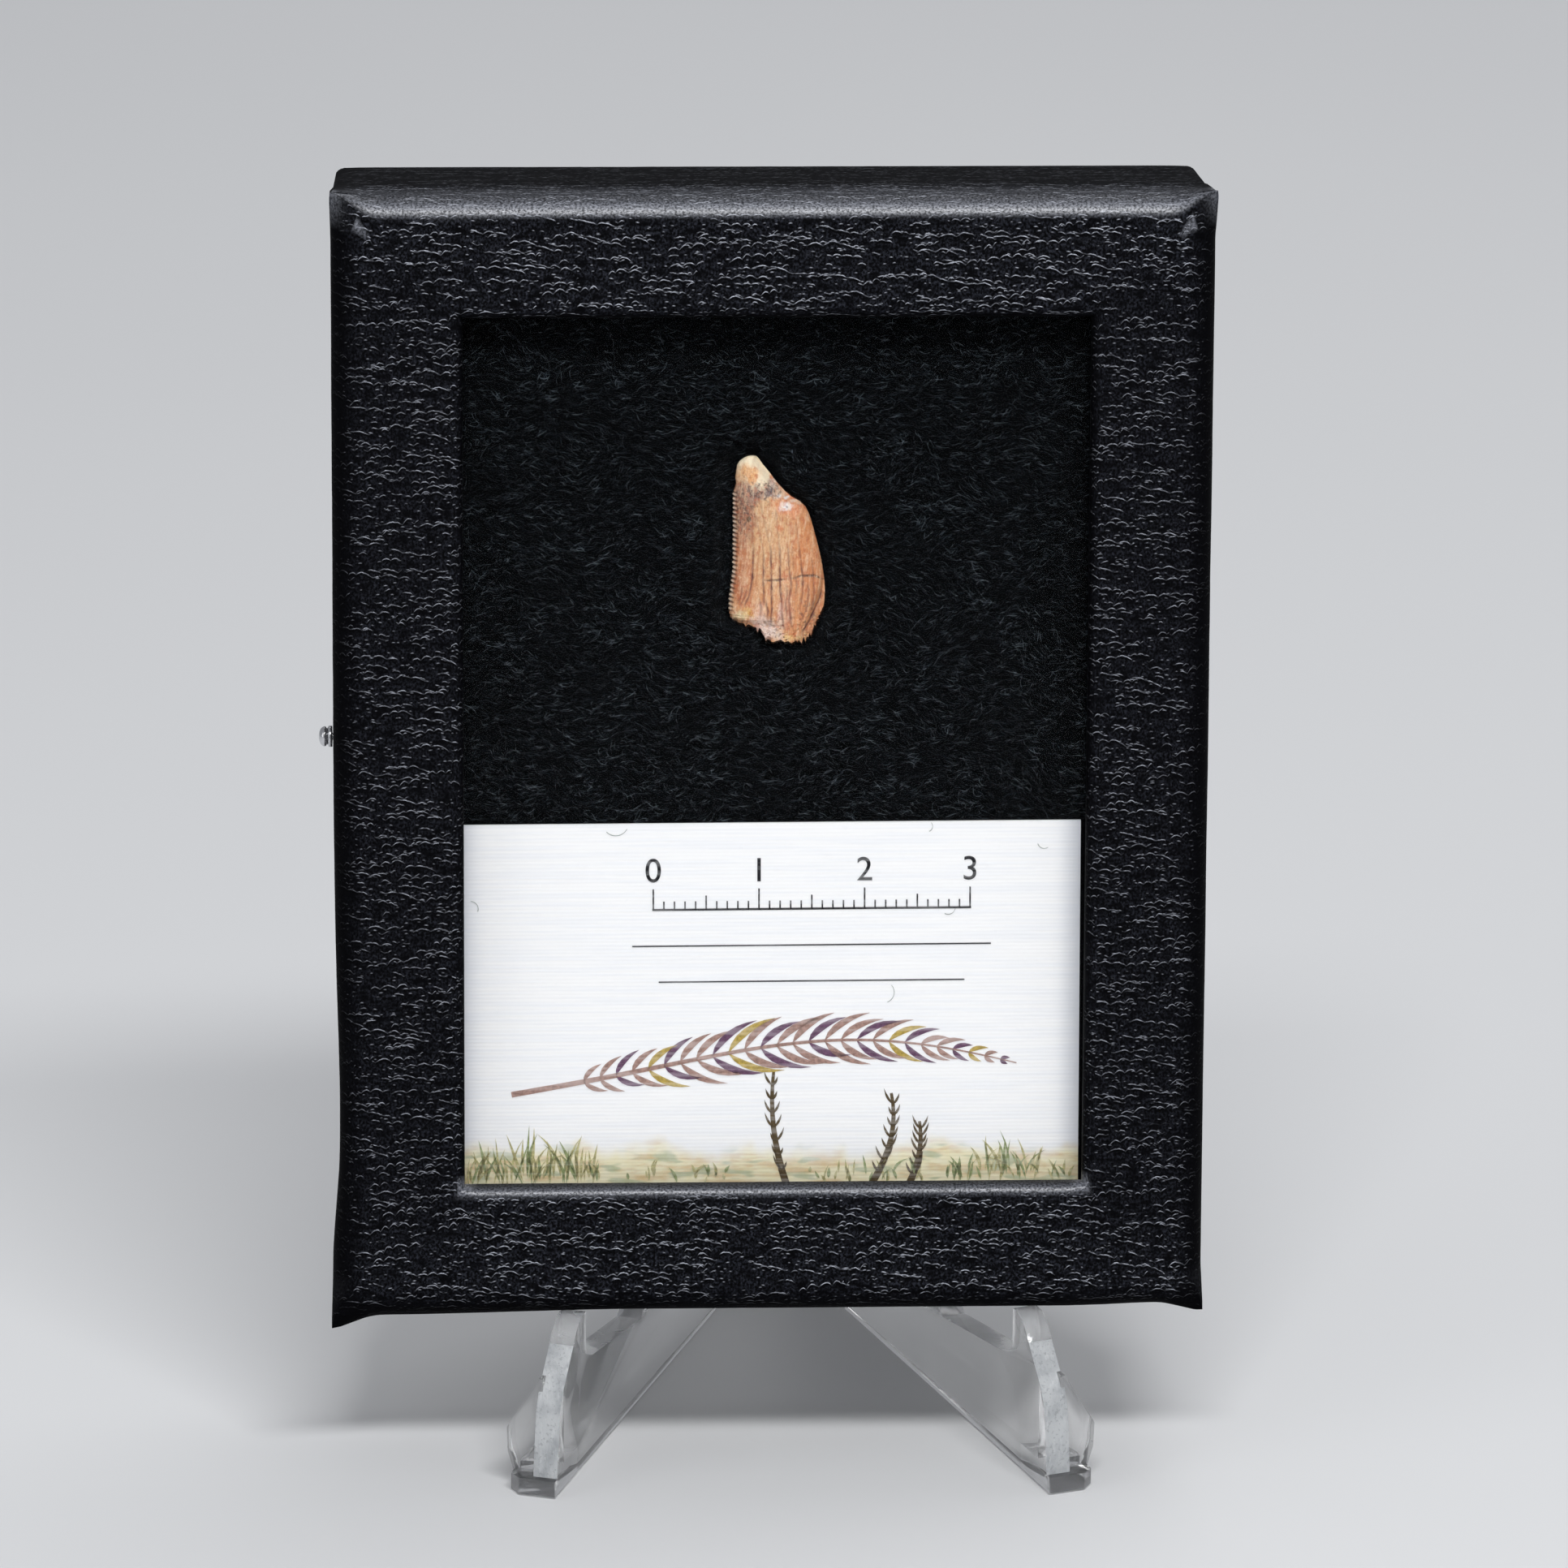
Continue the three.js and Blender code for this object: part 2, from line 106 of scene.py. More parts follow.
def alone(piece):
    """Selects one piece and nothing else."""
    bpy.ops.object.select_all(action="DESELECT")
    piece.select_set(True)
    bpy.context.view_layer.objects.active = piece


def fresh(name, add, scale=(1, 1, 1), **size):
    """A new primitive, with nothing else selected."""
    bpy.ops.object.select_all(action="DESELECT")
    add(**size)
    piece = bpy.context.object
    piece.name = piece.data.name = name
    piece.scale = scale
    bpy.ops.object.transform_apply(location=True, rotation=True, scale=True)
    return piece


def block(name, x, n, s):
    """A box between two places along each axis."""
    return fresh(
        name,
        bpy.ops.mesh.primitive_cube_add,
        size=1,
        location=[(a + b) / 2 for a, b in (x, n, s)],
        scale=[b - a for a, b in (x, n, s)],
    )


def edit(piece):
    alone(piece)
    bpy.ops.object.mode_set(mode="EDIT")


def choose(piece, kind, wanted):
    """In edit mode, selects the faces, edges or points that are wanted, and nothing else."""
    bpy.ops.mesh.select_mode(type=kind)
    bpy.ops.mesh.select_all(action="DESELECT")
    mesh = bmesh.from_edit_mesh(piece.data)
    parts = {"FACE": mesh.faces, "EDGE": mesh.edges, "VERT": mesh.verts}[kind]
    for part in parts:
        if wanted(part):
            part.select_set(True)
    bmesh.update_edit_mesh(piece.data)


def done():
    bpy.ops.object.mode_set(mode="OBJECT")


def done_outwards():
    """Turns every face of the piece that is being edited outwards, and ends the editing."""
    bpy.ops.mesh.select_all(action="SELECT")
    bpy.ops.mesh.normals_make_consistent(inside=False)
    done()


def pull(x=0.0, n=0.0, s=0.0):
    """Extrudes what is selected and moves it."""
    bpy.ops.mesh.extrude_region_move(TRANSFORM_OT_translate={"value": (x, n, s)})


def cut(piece, axis, places):
    """Cuts a piece right through at each place along an axis."""
    for at in places:
        bpy.ops.mesh.select_all(action="SELECT")
        middle, across = [0.0, 0.0, 0.0], [0.0, 0.0, 0.0]
        middle[axis], across[axis] = at, 1.0
        bpy.ops.mesh.bisect(plane_co=middle, plane_no=across)


def steps(a, b, step):
    """Even places from a to b, both ends left out."""
    count = max(1, round((b - a) / step))
    return [a + (b - a) * i / count for i in range(1, count)]


def ease(a, b, x):
    t = min(1.0, max(0.0, (x - a) / (b - a)))
    return t * t * (3 - 2 * t)


def finished(piece, at, turn=0.0, scale=1.0):
    """Applies where a piece stands, so that its place is in its mesh."""
    alone(piece)
    turned = Matrix.Rotation(turn, 4, "X") @ Matrix.Scale(scale, 4)
    piece.matrix_world = Matrix.Translation(at) @ turned @ piece.matrix_world
    bpy.ops.object.transform_apply(location=True, rotation=True, scale=True)


def into_case(piece):
    finished(piece, CASE_AT, -LEAN, MM)


def modify(piece, kind, **settings):
    """Adds a modifier and applies it."""
    alone(piece)
    made = piece.modifiers.new(kind.lower(), kind)
    for key, value in settings.items():
        setattr(made, key, value)
    bpy.ops.object.modifier_apply(modifier=made.name)


def smooth_edges(piece, degrees):
    alone(piece)
    bpy.ops.object.shade_smooth_by_angle(angle=math.radians(degrees))


def give_back(piece, back, *stages):
    """Draws a sheet's rim back in stages, makes it flat at a depth and closes it with one face."""
    edit(piece)
    choose(piece, "EDGE", lambda e: e.is_boundary)
    for stage in stages:
        pull(n=stage)
    mesh = bmesh.from_edit_mesh(piece.data)
    for v in mesh.verts:
        if v.select:
            v.co.y = back
    bmesh.update_edit_mesh(piece.data)
    bpy.ops.mesh.edge_face_add()
    done_outwards()


def mark(piece, name, values, kind="FLOAT"):
    """Gives each point of a piece a value, or a colour, that its finish can read."""
    made = piece.data.attributes.new(name, kind, "POINT")
    made.data.foreach_set("value" if kind == "FLOAT" else "color", values)


def bump_at(x, wide):
    """1 where x is 0, falling away smoothly to either side."""
    return math.exp(-((x / wide) ** 2))


def waves(x, y, z, octaves=3):
    """Soft random waves, from about -1 to 1."""
    return noise.fractal(Vector((x, y, z)), 0.8, 2.1, octaves)


def pinch_corners(x, n, s):
    """Where a point of the lid goes when its front round runs out into the corner's folded tip."""
    side, end = CASE_W / 2 - abs(x), MID_S - abs(s - MID_S)
    away = max(side, end)
    r = TIP_R + (EDGE_R - TIP_R) * ease(0.3, 4.6, away)
    near = min(side, end)

    def drawn(d):
        return d * r / EDGE_R if d <= EDGE_R else d - (EDGE_R - r) * (1 - ease(EDGE_R, TIP_REACH, d))

    shift_n = drawn(n) - n
    if n <= TIP_REACH and near <= TIP_REACH:
        if side <= end + 0.001:
            x += math.copysign(side - drawn(side), x)
        if end <= side + 0.001:
            s += math.copysign(end - drawn(end), s - MID_S)
        n += shift_n * (1 - ease(EDGE_R, TIP_REACH, near)) if near > EDGE_R else shift_n
    return x, max(0.0, n), s


def cuts_across(a, b, low, high):
    """Where to cut the lid from a to b: closely near both ends, and not through the window's lip."""
    fine, coarse = 0.45, 1.0
    return (
        steps(a + 2.6, a + 7, fine)
        + steps(a + 7, low - 1.2, coarse)
        + steps(low + 0.3, high - 0.3, coarse)
        + steps(high + 1.2, b - 7, coarse)
        + steps(b - 7, b - 2.6, fine)
    )


def shape_lid():
    lid = block("lid_cover", (-CASE_W / 2, CASE_W / 2), (0, CASE_D), (0, CASE_H))
    edit(lid)
    inset = 12.0
    choose(lid, "FACE", lambda f: f.normal.y < -0.9)
    bpy.ops.mesh.inset(thickness=inset)
    bpy.ops.transform.resize(
        value=(WINDOW_W / (CASE_W - 2 * inset), 1, WINDOW_H / (CASE_H - 2 * inset)),
        center_override=(0, 0, MID_S),
    )
    bpy.ops.transform.translate(value=(WINDOW_X, 0, WINDOW_S - MID_S))
    pull(n=PANEL_T)
    bpy.ops.mesh.delete(type="FACE")
    wall = (CASE_H - INNER_H) / 2
    choose(lid, "FACE", lambda f: f.normal.y > 0.9 and f.calc_center_median().y > CASE_D - 0.1)
    bpy.ops.transform.resize(
        value=(1 - 2 * TAPER / CASE_W, 1, 1 - TAPER / CASE_H), center_override=(0, CASE_D, CASE_H)
    )
    bpy.ops.mesh.inset(thickness=wall)
    bpy.ops.transform.resize(
        value=(INNER_W / (CASE_W - 2 * (TAPER + wall)), 1, INNER_H / (CASE_H - TAPER - 2 * wall)),
        center_override=(0, CASE_D, MID_S + TAPER / 2),
    )
    bpy.ops.transform.translate(value=(0, 0, -TAPER / 2))
    pull(n=PANEL_T - CASE_D)
    bpy.ops.mesh.delete(type="FACE")
    choose(lid, "EDGE", lambda e: all(abs(v.co.y - PANEL_T) < 1e-3 for v in e.verts))
    bpy.ops.mesh.bridge_edge_loops()

    def outer(e):
        return all(v.co.y < 1e-3 for v in e.verts) and all(
            abs(v.co.x) > CASE_W / 2 - 0.01 or abs(v.co.z - MID_S) > MID_S - 0.01 for v in e.verts
        )

    def round_window(e):
        return all(
            v.co.y < 1e-3
            and abs(v.co.x - WINDOW_X) < WINDOW_W / 2 + 0.01
            and abs(v.co.z - WINDOW_S) < WINDOW_H / 2 + 0.01
            for v in e.verts
        )

    def rim(e):
        return all(v.co.y > CASE_D - 1e-3 for v in e.verts) and e.calc_face_angle(0) > 1

    def upright_corner(e):
        a, b = e.verts
        return (
            abs(a.co.y - b.co.y) > 3
            and min(abs(a.co.x), abs(b.co.x)) > INNER_W / 2 + 0.2
            and min(abs(a.co.z - MID_S), abs(b.co.z - MID_S)) > INNER_H / 2 + 0.2
        )

    for edges, radius, segments in (
        (outer, EDGE_R, 9), (round_window, LIP_R, 5), (upright_corner, UPRIGHT_R, 4), (rim, RIM_R, 2)
    ):
        choose(lid, "EDGE", edges)
        bpy.ops.mesh.bevel(offset=radius, segments=segments, affect="EDGES")
    half = CASE_W / 2
    cut(lid, 0, cuts_across(-half, half, WINDOW_X - WINDOW_W / 2, WINDOW_X + WINDOW_W / 2))
    cut(lid, 2, cuts_across(0, CASE_H, WINDOW_S - WINDOW_H / 2, WINDOW_S + WINDOW_H / 2))
    cut(lid, 1, steps(2.6, CASE_D - 0.5, 1.2))
    done()

    for v in lid.data.vertices:
        x, n, s = v.co
        inside = abs(x) < INNER_W / 2 + 0.1 and abs(s - MID_S) < INNER_H / 2 + 0.1 and n > 1.9
        if inside:
            continue
        front = 1 - ease(2, 9, n)
        x, n, s = pinch_corners(x, n, s)
        side, end = max(0.0, CASE_W / 2 - abs(x)), max(0.0, MID_S - abs(s - MID_S))
        # the upright corners are rounder towards the back
        r = 0.01 + BACK_R * ease(2, 17, n)
        over = math.hypot(max(0.0, r - side), max(0.0, r - end))
        if over > r and side < r and end < r:
            x = math.copysign(CASE_W / 2 - r + (r - side) * r / over, x)
            s = MID_S + math.copysign(MID_S - r + (r - end) * r / over, s - MID_S)
        tip = bump_at(math.hypot(side, end), 2.2) * front
        s += tip * (TIP_UP if s > MID_S else -TIP_DOWN if x < 0 else -0.4 * TIP_DOWN)
        # the left edge is drawn in a little near its foot and flares out again below that
        left = ease(-34, -41, x)
        x += BOW * bump_at(s - BOW_S, BOW_HIGH) * left * (1 - 0.5 * ease(4, 18, n))
        x -= 0.4 * ease(16, 5, s) * left * (1 - ease(5, 12, n))
        # the bottom edge sags towards its left end, and least at its right
        sag = 0.12 + 0.4 * ease(-12, -38, x) - 0.28 * ease(28, 38, x)
        if s < MID_S:
            s -= sag * (1 - ease(1, 7, end)) * (1 - ease(4, 12, n))
        # the covering isn't quite flat
        soft = 0.05 * waves(x / 9, s / 9, n / 9) + 0.02 * waves(x / 2.4, s / 2.4, n / 2.4)
        if side > 2 and end > 2:
            n = max(0.0, n + 0.06 + soft)
        elif side <= end:
            x -= math.copysign(0.03 + 0.5 * soft, x) * ease(0.5, 4, math.hypot(side, end))
        else:
            s -= math.copysign(0.5 * soft, s - MID_S) * ease(0.5, 4, math.hypot(side, end))
        v.co = min(x, CASE_W / 2 - 0.03), n, min(s, CASE_H + TIP_UP - 0.06)
    return lid


def drill_for_pin(piece):
    bar = fresh(
        "pin_drill", bpy.ops.mesh.primitive_cylinder_add, vertices=20, radius=PIN_HOLE_R, depth=6,
        location=(-CASE_W / 2 + 1.5, PIN_N, PIN_S), rotation=(0, math.pi / 2, 0),
    )
    modify(piece, "BOOLEAN", object=bar, operation="DIFFERENCE", solver="EXACT")
    bpy.data.objects.remove(bar)


def rub_edges(piece):
    """Marks where a highlight is painted along the covering's edges, folds and tucks, and how much painted
    light its creases' glints and its ground get, less on the flanks and foot.
    """
    painted_sheen, crest_light = [], []
    for v in piece.data.vertices:
        x, n, s = v.co
        side, end = CASE_W / 2 - abs(x), MID_S - abs(s - MID_S)
        lip = max(abs(x - WINDOW_X) - WINDOW_W / 2, abs(s - WINDOW_S) - WINDOW_H / 2)
        # a painted highlight lies along edges that turn upwards, on a line a little above where they begin
        # to turn, where the light above and in front would glint on them
        turned = math.degrees(math.atan2(v.normal.z, max(1e-6, -v.normal.y)))
        line = bump_at(turned - 33, 14)
        line += 0.34 * ease(30, 48, turned) * (1 - 0.45 * ease(50, 90, turned))
        line *= (0.2 + 0.8 * ease(1.2, 3.4, side)) * (1 - v.normal.x**2)
        # painted highlights lie also on the folds that run in from the top corners, and on the tucks at the
        # window's foot
        if s > MID_S:
            fold = bump_at(side - end, 0.36 + 0.5 * ease(2.6, 0.8, side))
            line += 1.5 * fold * ease(3.8, 2.2, side) * ease(4, 2.5, n)
        tuck = math.hypot(abs(x - WINDOW_X) - WINDOW_W / 2 - 0.25, s - WINDOW_S + WINDOW_H / 2 + 0.25)
        line += 1.2 * bump_at(tuck, 0.5)
        painted_sheen.append(min(1.0, line) * ease(7.5, 2.2, n))
        # painted shade: the glints and the ground fade to dark on the flanks and the foot, and the side
        # bars get a little less painted light than the top
        near = ease(0.8, 3.2, side) * (1.0 if s > MID_S else ease(0.5, 3.0, end))
        bar = 1 - 0.34 * ease(WINDOW_W / 2 - 2, WINDOW_W / 2 + 2, abs(x)) * ease(3, 12, end)
        front = (0.04 + 0.96 * near) * bar * (1 - 0.8 * ease(6, 9, n))
        front *= 0.1 + 0.9 * ease(0.0, 0.9, lip)
        # the walls behind get dimmer painted glints, and the top wall dimmest of all
        wall = 0.12 * ease(5, 9, n) if end < 1 and s > MID_S else 0.6 * ease(2.2, 4.5, n)
        crest_light.append(max(front, wall))
    mark(piece, "painted_sheen", painted_sheen)
    mark(piece, "crest_light", crest_light)


def wrap_covering(piece):
    """A flat map of the covering in millimetres, which turns round the edges as the sheet does."""
    flat = piece.data.uv_layers.new(name="covering")
    for face in piece.data.polygons:
        mid = face.center
        on_side = CASE_W / 2 - abs(mid.x) < MID_S - abs(mid.z - MID_S)
        from_left = WINDOW_W / 2 - abs(mid.x - WINDOW_X)
        from_foot = WINDOW_H / 2 - abs(mid.z - WINDOW_S)
        by_window = min(from_left, from_foot) > -LIP_R
        if by_window:
            on_side = from_left < from_foot
        out = -1 if by_window else 1
        for corner in face.loop_indices:
            x, n, s = piece.data.vertices[piece.data.loops[corner].vertex_index].co
            if on_side:
                x += out * math.copysign(n, mid.x)
            else:
                s += out * math.copysign(n, mid.z - MID_S)
            flat.data[corner].uv = x, s


def colour(r, g, b):
    """A colour from its 0 to 255 screen values."""
    c = [v / 255 for v in (r, g, b)]
    return (*[v / 12.92 if v <= 0.04045 else ((v + 0.055) / 1.055) ** 2.4 for v in c], 1.0)


class Tone:
    """One output of a finish's nodes, so that maths on it is written as maths."""

    def __init__(self, finish, socket):
        self.finish, self.socket = finish, socket

    def maths(self, operation, *others):
        return self.finish.node("Math", {"operation": operation}, self, *others)

    def __add__(self, other):
        return self.maths("ADD", other)

    def __mul__(self, other):
        return self.maths("MULTIPLY", other)

    def __sub__(self, other):
        return self.maths("SUBTRACT", other)

    def __rsub__(self, other):
        return self.finish.node("Math", {"operation": "SUBTRACT"}, other, self)

    __radd__, __rmul__ = __add__, __mul__

    def also(self, out):
        """Another output of the same node."""
        return Tone(self.finish, self.socket.node.outputs[out])

    def rise(self, low, high):
        """0 below low, 1 above high, and smooth between them."""
        smooth = {"interpolation_type": "SMOOTHSTEP"}
        return self.finish.node("MapRange", smooth, self, low, high, 0.0, 1.0)

    def fall(self, low, high):
        """1 below low, 0 above high, and smooth between them."""
        return 1 - self.rise(low, high)

    def size(self):
        """The value without its sign."""
        return self.maths("ABSOLUTE")


class Finish:
    """A material, built node by node round one shader."""

    def __init__(self, name, **constants):
        self.material = bpy.data.materials.new(name)
        self.material.use_nodes = True
        self.tree = self.material.node_tree
        self.shader = self.tree.nodes["Principled BSDF"]
        self.set(**constants)

    def feed(self, socket, value):
        if isinstance(value, Tone):
            self.tree.links.new(value.socket, socket)
        else:
            socket.default_value = value

    def set(self, **sockets):
        for name, value in sockets.items():
            self.feed(self.shader.inputs[name.replace("_", " ")], value)

    def node(self, kind, settings, *inputs, out=0, **named):
        """A new node, its inputs in order or by name, and one of its outputs."""
        made = self.tree.nodes.new("ShaderNode" + kind)
        for key, value in settings.items():
            setattr(made, key, value)
        for where, value in (*enumerate(inputs), *named.items()):
            self.feed(made.inputs[where], value)
        return Tone(self, made.outputs[out])

    def blend(self, mask, a, b):
        """Colour a where the mask is 0, and colour b where it is 1."""
        made = self.tree.nodes.new("ShaderNodeMix")
        made.data_type = "RGBA"
        for where, value in ((0, mask), (6, a), (7, b)):
            self.feed(made.inputs[where], value)
        return Tone(self, made.outputs[2])

    def coats(self, tint, *coats):
        """Lays screen colours over a tint in turn, each by its own mask."""
        for mask, rgb in coats:
            tint = self.blend(mask, tint, colour(*rgb))
        return tint

    def place(self):
        """A point's own place, in metres."""
        return self.node("TexCoord", {}, out="Object")

    def sheet(self, name):
        """A point's place on a flat map."""
        return self.node("UVMap", {"uv_map": name})

    def marked(self, name, out="Fac"):
        """The value, or the colour, that a point was given."""
        return self.node("Attribute", {"attribute_name": name}, out=out)

    def mapped(self, where, **how):
        return self.node("Mapping", {}, where, **how)

    def shift(self, where, by, amount):
        """Moves places about by a noise's colour, which gives a wavy pattern."""
        centred = self.node("VectorMath", {"operation": "SUBTRACT"}, by, (0.5, 0.5, 0.5))
        scaled = self.node("VectorMath", {"operation": "SCALE"}, centred, Scale=amount)
        return self.node("VectorMath", {"operation": "ADD"}, where, scaled)

    def grain(self, where, scale, detail=3.0, rough=0.55, out="Fac"):
        """Noise of a size, from 0 to 1."""
        settings = {"Vector": where, "Scale": scale, "Detail": detail, "Roughness": rough}
        return self.node("TexNoise", {}, out=out, **settings)

    def drawn_grain(self, where, scale, detail=3.0, rough=0.55, **how):
        """Grain with its own scale along each axis, longest where that is smallest."""
        return self.grain(self.mapped(where, Scale=scale, **how), 1.0, detail, rough)

    def bump(self, height, distance):
        return self.node("Bump", {}, Strength=1.0, Distance=distance, Height=height)


def embossed(finish, flat, wide, high, long, half, kept, seed, arch=0.0):
    """Raised strokes pressed into the sheet, one to a patch, and the hollow just below each one; the finish
    paints glints on the strokes and shadow in the hollows.

    Each has its own length and slope, and long ones run on as a row of small arches.
    """
    sheet = finish.mapped(flat, Scale=(1 / wide, 1 / high, 1), Location=(seed, seed * 1.7, 0))
    flat_cells = {"feature": "F1", "voronoi_dimensions": "2D"}
    luck = finish.node("TexVoronoi", flat_cells, Vector=sheet, Scale=1.0, out="Color")
    within = finish.node("VectorMath", {"operation": "SUBTRACT"}, sheet, luck.also("Position"))
    red = finish.node("SeparateColor", {}, luck, out="Red")
    green, blue = red.also("Green"), red.also("Blue")
    across = finish.node("SeparateXYZ", {}, within, out="X") * wide
    up = finish.node("SeparateXYZ", {}, within, out="Y") * high
    line = across * (red - 0.5) * 0.34 - across * across * green * (0.3 / long)
    crown = 1.0
    if arch:
        wander = finish.node("CombineXYZ", {}, across * 0.42, red * 57, blue * 31)
        bend = finish.grain(wander, 1.0, 0.0) - 0.5
        quiver = finish.node("CombineXYZ", {}, across * 2.6, red * 23, blue * 7)
        fine = finish.grain(quiver, 1.0, 1.0)
        line = line + bend * 0.9 + (fine - 0.5) * 0.16
        beat = (across + bend * 1.6) * (math.pi / arch) * (green * 0.5 + 0.8) + blue * 9.0
        wave = beat.maths("SINE").size()
        line = line + wave * (0.2 * arch) * (0.4 + red)
        # the painted glint is brightest on each arch's top, where it faces up, and fades at the cusps
        crown = (wave.rise(0.2, 0.75) * 0.8 + 0.2) * (fine.rise(0.34, 0.54) * 0.55 + 0.45)
    off = up - line
    end = across.size() - (blue * 0.5 + 0.5) * (long / 2)
    there = (green * 7.31).maths("FRACT").fall(kept, kept + 0.01) * end.fall(-0.2, 0.05)
    stroke = off.size().fall(half * 0.3, half * 1.3) * there * crown
    below = (off + half * 3.2).size().fall(half * 0.5, half * 3.4) * there
    return stroke, below


def leatherette():
    """Near-black covering, embossed with broken, wavy creases that run across the case, with painted glints
    on the creases, painted shadow just below them and a painted highlight band along its edges.
    """
    finish = Finish("leatherette", Specular_IOR_Level=0.03, Coat_Roughness=0.4, Coat_IOR=1.7)
    flat = finish.sheet("covering")
    speck = finish.drawn_grain(flat, (4.2, 3.4, 1), 3.0, 0.62)
    patchy = finish.drawn_grain(flat, (0.8, 1.3, 1), 3.0)
    shine = finish.drawn_grain(flat, (1.4, 2.4, 1), 2.0)
    creases, shaded_hollows = embossed(finish, flat, 5.8, 1.5, 5.8, 0.058, 0.8, 3.0, 1.35)
    for wide, high, long, half, kept, seed, arch in (
        (3.1, 1.2, 3.0, 0.056, 0.38, 17.0, 1.1),
        (1.5, 0.85, 1.2, 0.054, 0.36, 29.0, 1.2),
        (0.8, 0.55, 0.42, 0.058, 0.4, 43.0, 0.0),
    ):
        more, under = embossed(finish, flat, wide, high, long, half, kept, seed, arch)
        creases = creases.maths("MAXIMUM", more * (0.7 if wide < 1 else 0.9))
        shaded_hollows = shaded_hollows.maths("MAXIMUM", under)
    creases = creases * (0.34 + shine.rise(0.36, 0.66) * 0.66)
    sheen_band = finish.marked("painted_sheen")
    crest_light = finish.marked("crest_light")
    ground = finish.coats(colour(3, 3, 4), (speck.rise(0.4, 0.7), (46, 48, 56)))
    ground = finish.blend(patchy.rise(0.32, 0.6), colour(4, 4, 6), ground)
    # painted shade: the ground is darker where less light falls, on the flanks and the foot
    ground = finish.blend(crest_light, colour(3, 3, 5), ground)
    lit = finish.coats(
        ground,
        # painted shadow just below each crease
        (shaded_hollows * 0.75, (2, 2, 3)),
        # a painted highlight band along the edges
        (sheen_band * (0.14 + speck.rise(0.32, 0.68) * 0.8), (134, 137, 147)),
        # painted glints on the creases, dimmer where less light falls
        (creases * crest_light, (202, 206, 218)),
    )
    height = creases - shaded_hollows * 0.5 + speck * 0.35
    finish.set(
        Base_Color=lit,
        Roughness=0.66 - creases * 0.16 + speck * 0.1,
        Coat_Weight=sheen_band * (0.2 + speck.rise(0.34, 0.62)),
        Normal=finish.bump(height, 0.00005),
    )
    return finish.material


def black_paper(name):
    """Dull black paper over board, with short pressed fibres and a little rubbing."""
    finish = Finish(name, Specular_IOR_Level=0.3)
    where = finish.place()
    pulp = finish.drawn_grain(where, (900, 900, 1500), 4.0, 0.65)
    cloud = finish.grain(where, 70, 3.0)
    pale = 46, 46, 50
    ground = finish.coats(
        colour(24, 24, 27), (pulp.rise(0.4, 0.75) * 0.6, pale), (cloud.rise(0.45, 0.75) * 0.35, pale)
    )
    finish.set(Base_Color=ground, Roughness=0.72 + pulp * 0.2, Normal=finish.bump(pulp, 0.00005))
    return finish.material


lid_cover = shape_lid()
drill_for_pin(lid_cover)
rub_edges(lid_cover)
wrap_covering(lid_cover)
lid_cover.data.materials.append(leatherette())
lid_cover.data.materials.append(black_paper("lining_paper"))
for face in lid_cover.data.polygons:
    mid = face.center
    face.material_index = int(
        abs(mid.x) < INNER_W / 2 + 0.05
        and abs(mid.z - MID_S) < INNER_H / 2 + 0.05
        and mid.y > PANEL_T - 0.05
        and (mid.y > PANEL_T + 0.05 or face.normal.y > 0.5)
    )
into_case(lid_cover)
smooth_edges(lid_cover, 40)
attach(lid_cover, "root")
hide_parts("lid")

# ---- Glass pane ----
# A thin cut sheet of clear glass that lies behind the window, held by the tray.


def pane_glass():
    finish = Finish("pane_glass", Transmission_Weight=1.0, IOR=1.45, Specular_IOR_Level=0.3)
    where = finish.place()
    wiped = finish.drawn_grain(where, (60, 60, 160), 3.0, Rotation=(0, 0.5, 0))
    dust = finish.grain(where, 1400, 1.0)
    finish.set(
        Base_Color=finish.coats(colour(252, 254, 253), (dust.rise(0.7, 0.8) * 0.4, (226, 230, 230))),
        Roughness=wiped * 0.02,
        Alpha=0.05 + dust.rise(0.72, 0.8) * 0.05,
    )
    return finish.material


def repaint(node, material):
    """Gives a carried-over node its finish."""
    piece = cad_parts[node]
    piece.data.materials.clear()
    piece.data.materials.append(material)


repaint("glass_pane", pane_glass())

# ---- Tray ----
# The box's other half, black paper over board: it slides into the lid from behind and holds the
# wadding up to the glass.


def traced(node, name):
    """A copy of a node's shape as a clean mesh of whole faces."""
    piece = into_scene(name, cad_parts[node].data.copy())
    piece.data.name = name
    piece.data.materials.clear()
    edit(piece)
    bpy.ops.mesh.select_mode(type="VERT")
    bpy.ops.mesh.select_all(action="SELECT")
    bpy.ops.mesh.remove_doubles(threshold=2e-6)
    bpy.ops.mesh.dissolve_limited(angle_limit=math.radians(0.6))
    done()
    return piece


def soften(piece, radius, degrees):
    """Rounds a piece's edges that are sharper than an angle."""
    limit = math.radians(degrees)
    modify(piece, "BEVEL", width=radius * MM, segments=3, limit_method="ANGLE", angle_limit=limit)


tray_box = traced("tray", "tray_box")
soften(tray_box, 0.35, 40)
tray_box.data.materials.append(black_paper("tray_paper"))
smooth_edges(tray_box, 40)
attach(tray_box, "root")
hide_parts("tray")

# ---- Wadding ----
# A pad of black needled cotton that fills the tray. It is pressed back where the tooth lies on it,
# and its surface is a fleece of short curled fibres.
TOOTH_X, TOOTH_S = 0.59, 73.2
TOOTH_TOP, TOOTH_FOOT = 8.84, -8.86
CARD_W, CARD_H, CARD_T = 59.2, 38.35, 0.3
CARD_X, CARD_TOP, CARD_N = -0.15, 46.85, 4.3
WAD_HALF_W, WAD_HALF_H, WAD_BACK = 37.2, 49.6, 16.7
# how deep the fleece lies behind the card and elsewhere, and the least depth that clears the glass
WAD_BY_CARD, WAD_N, GLASS_BACK = 5.05, 4.55, 4.12
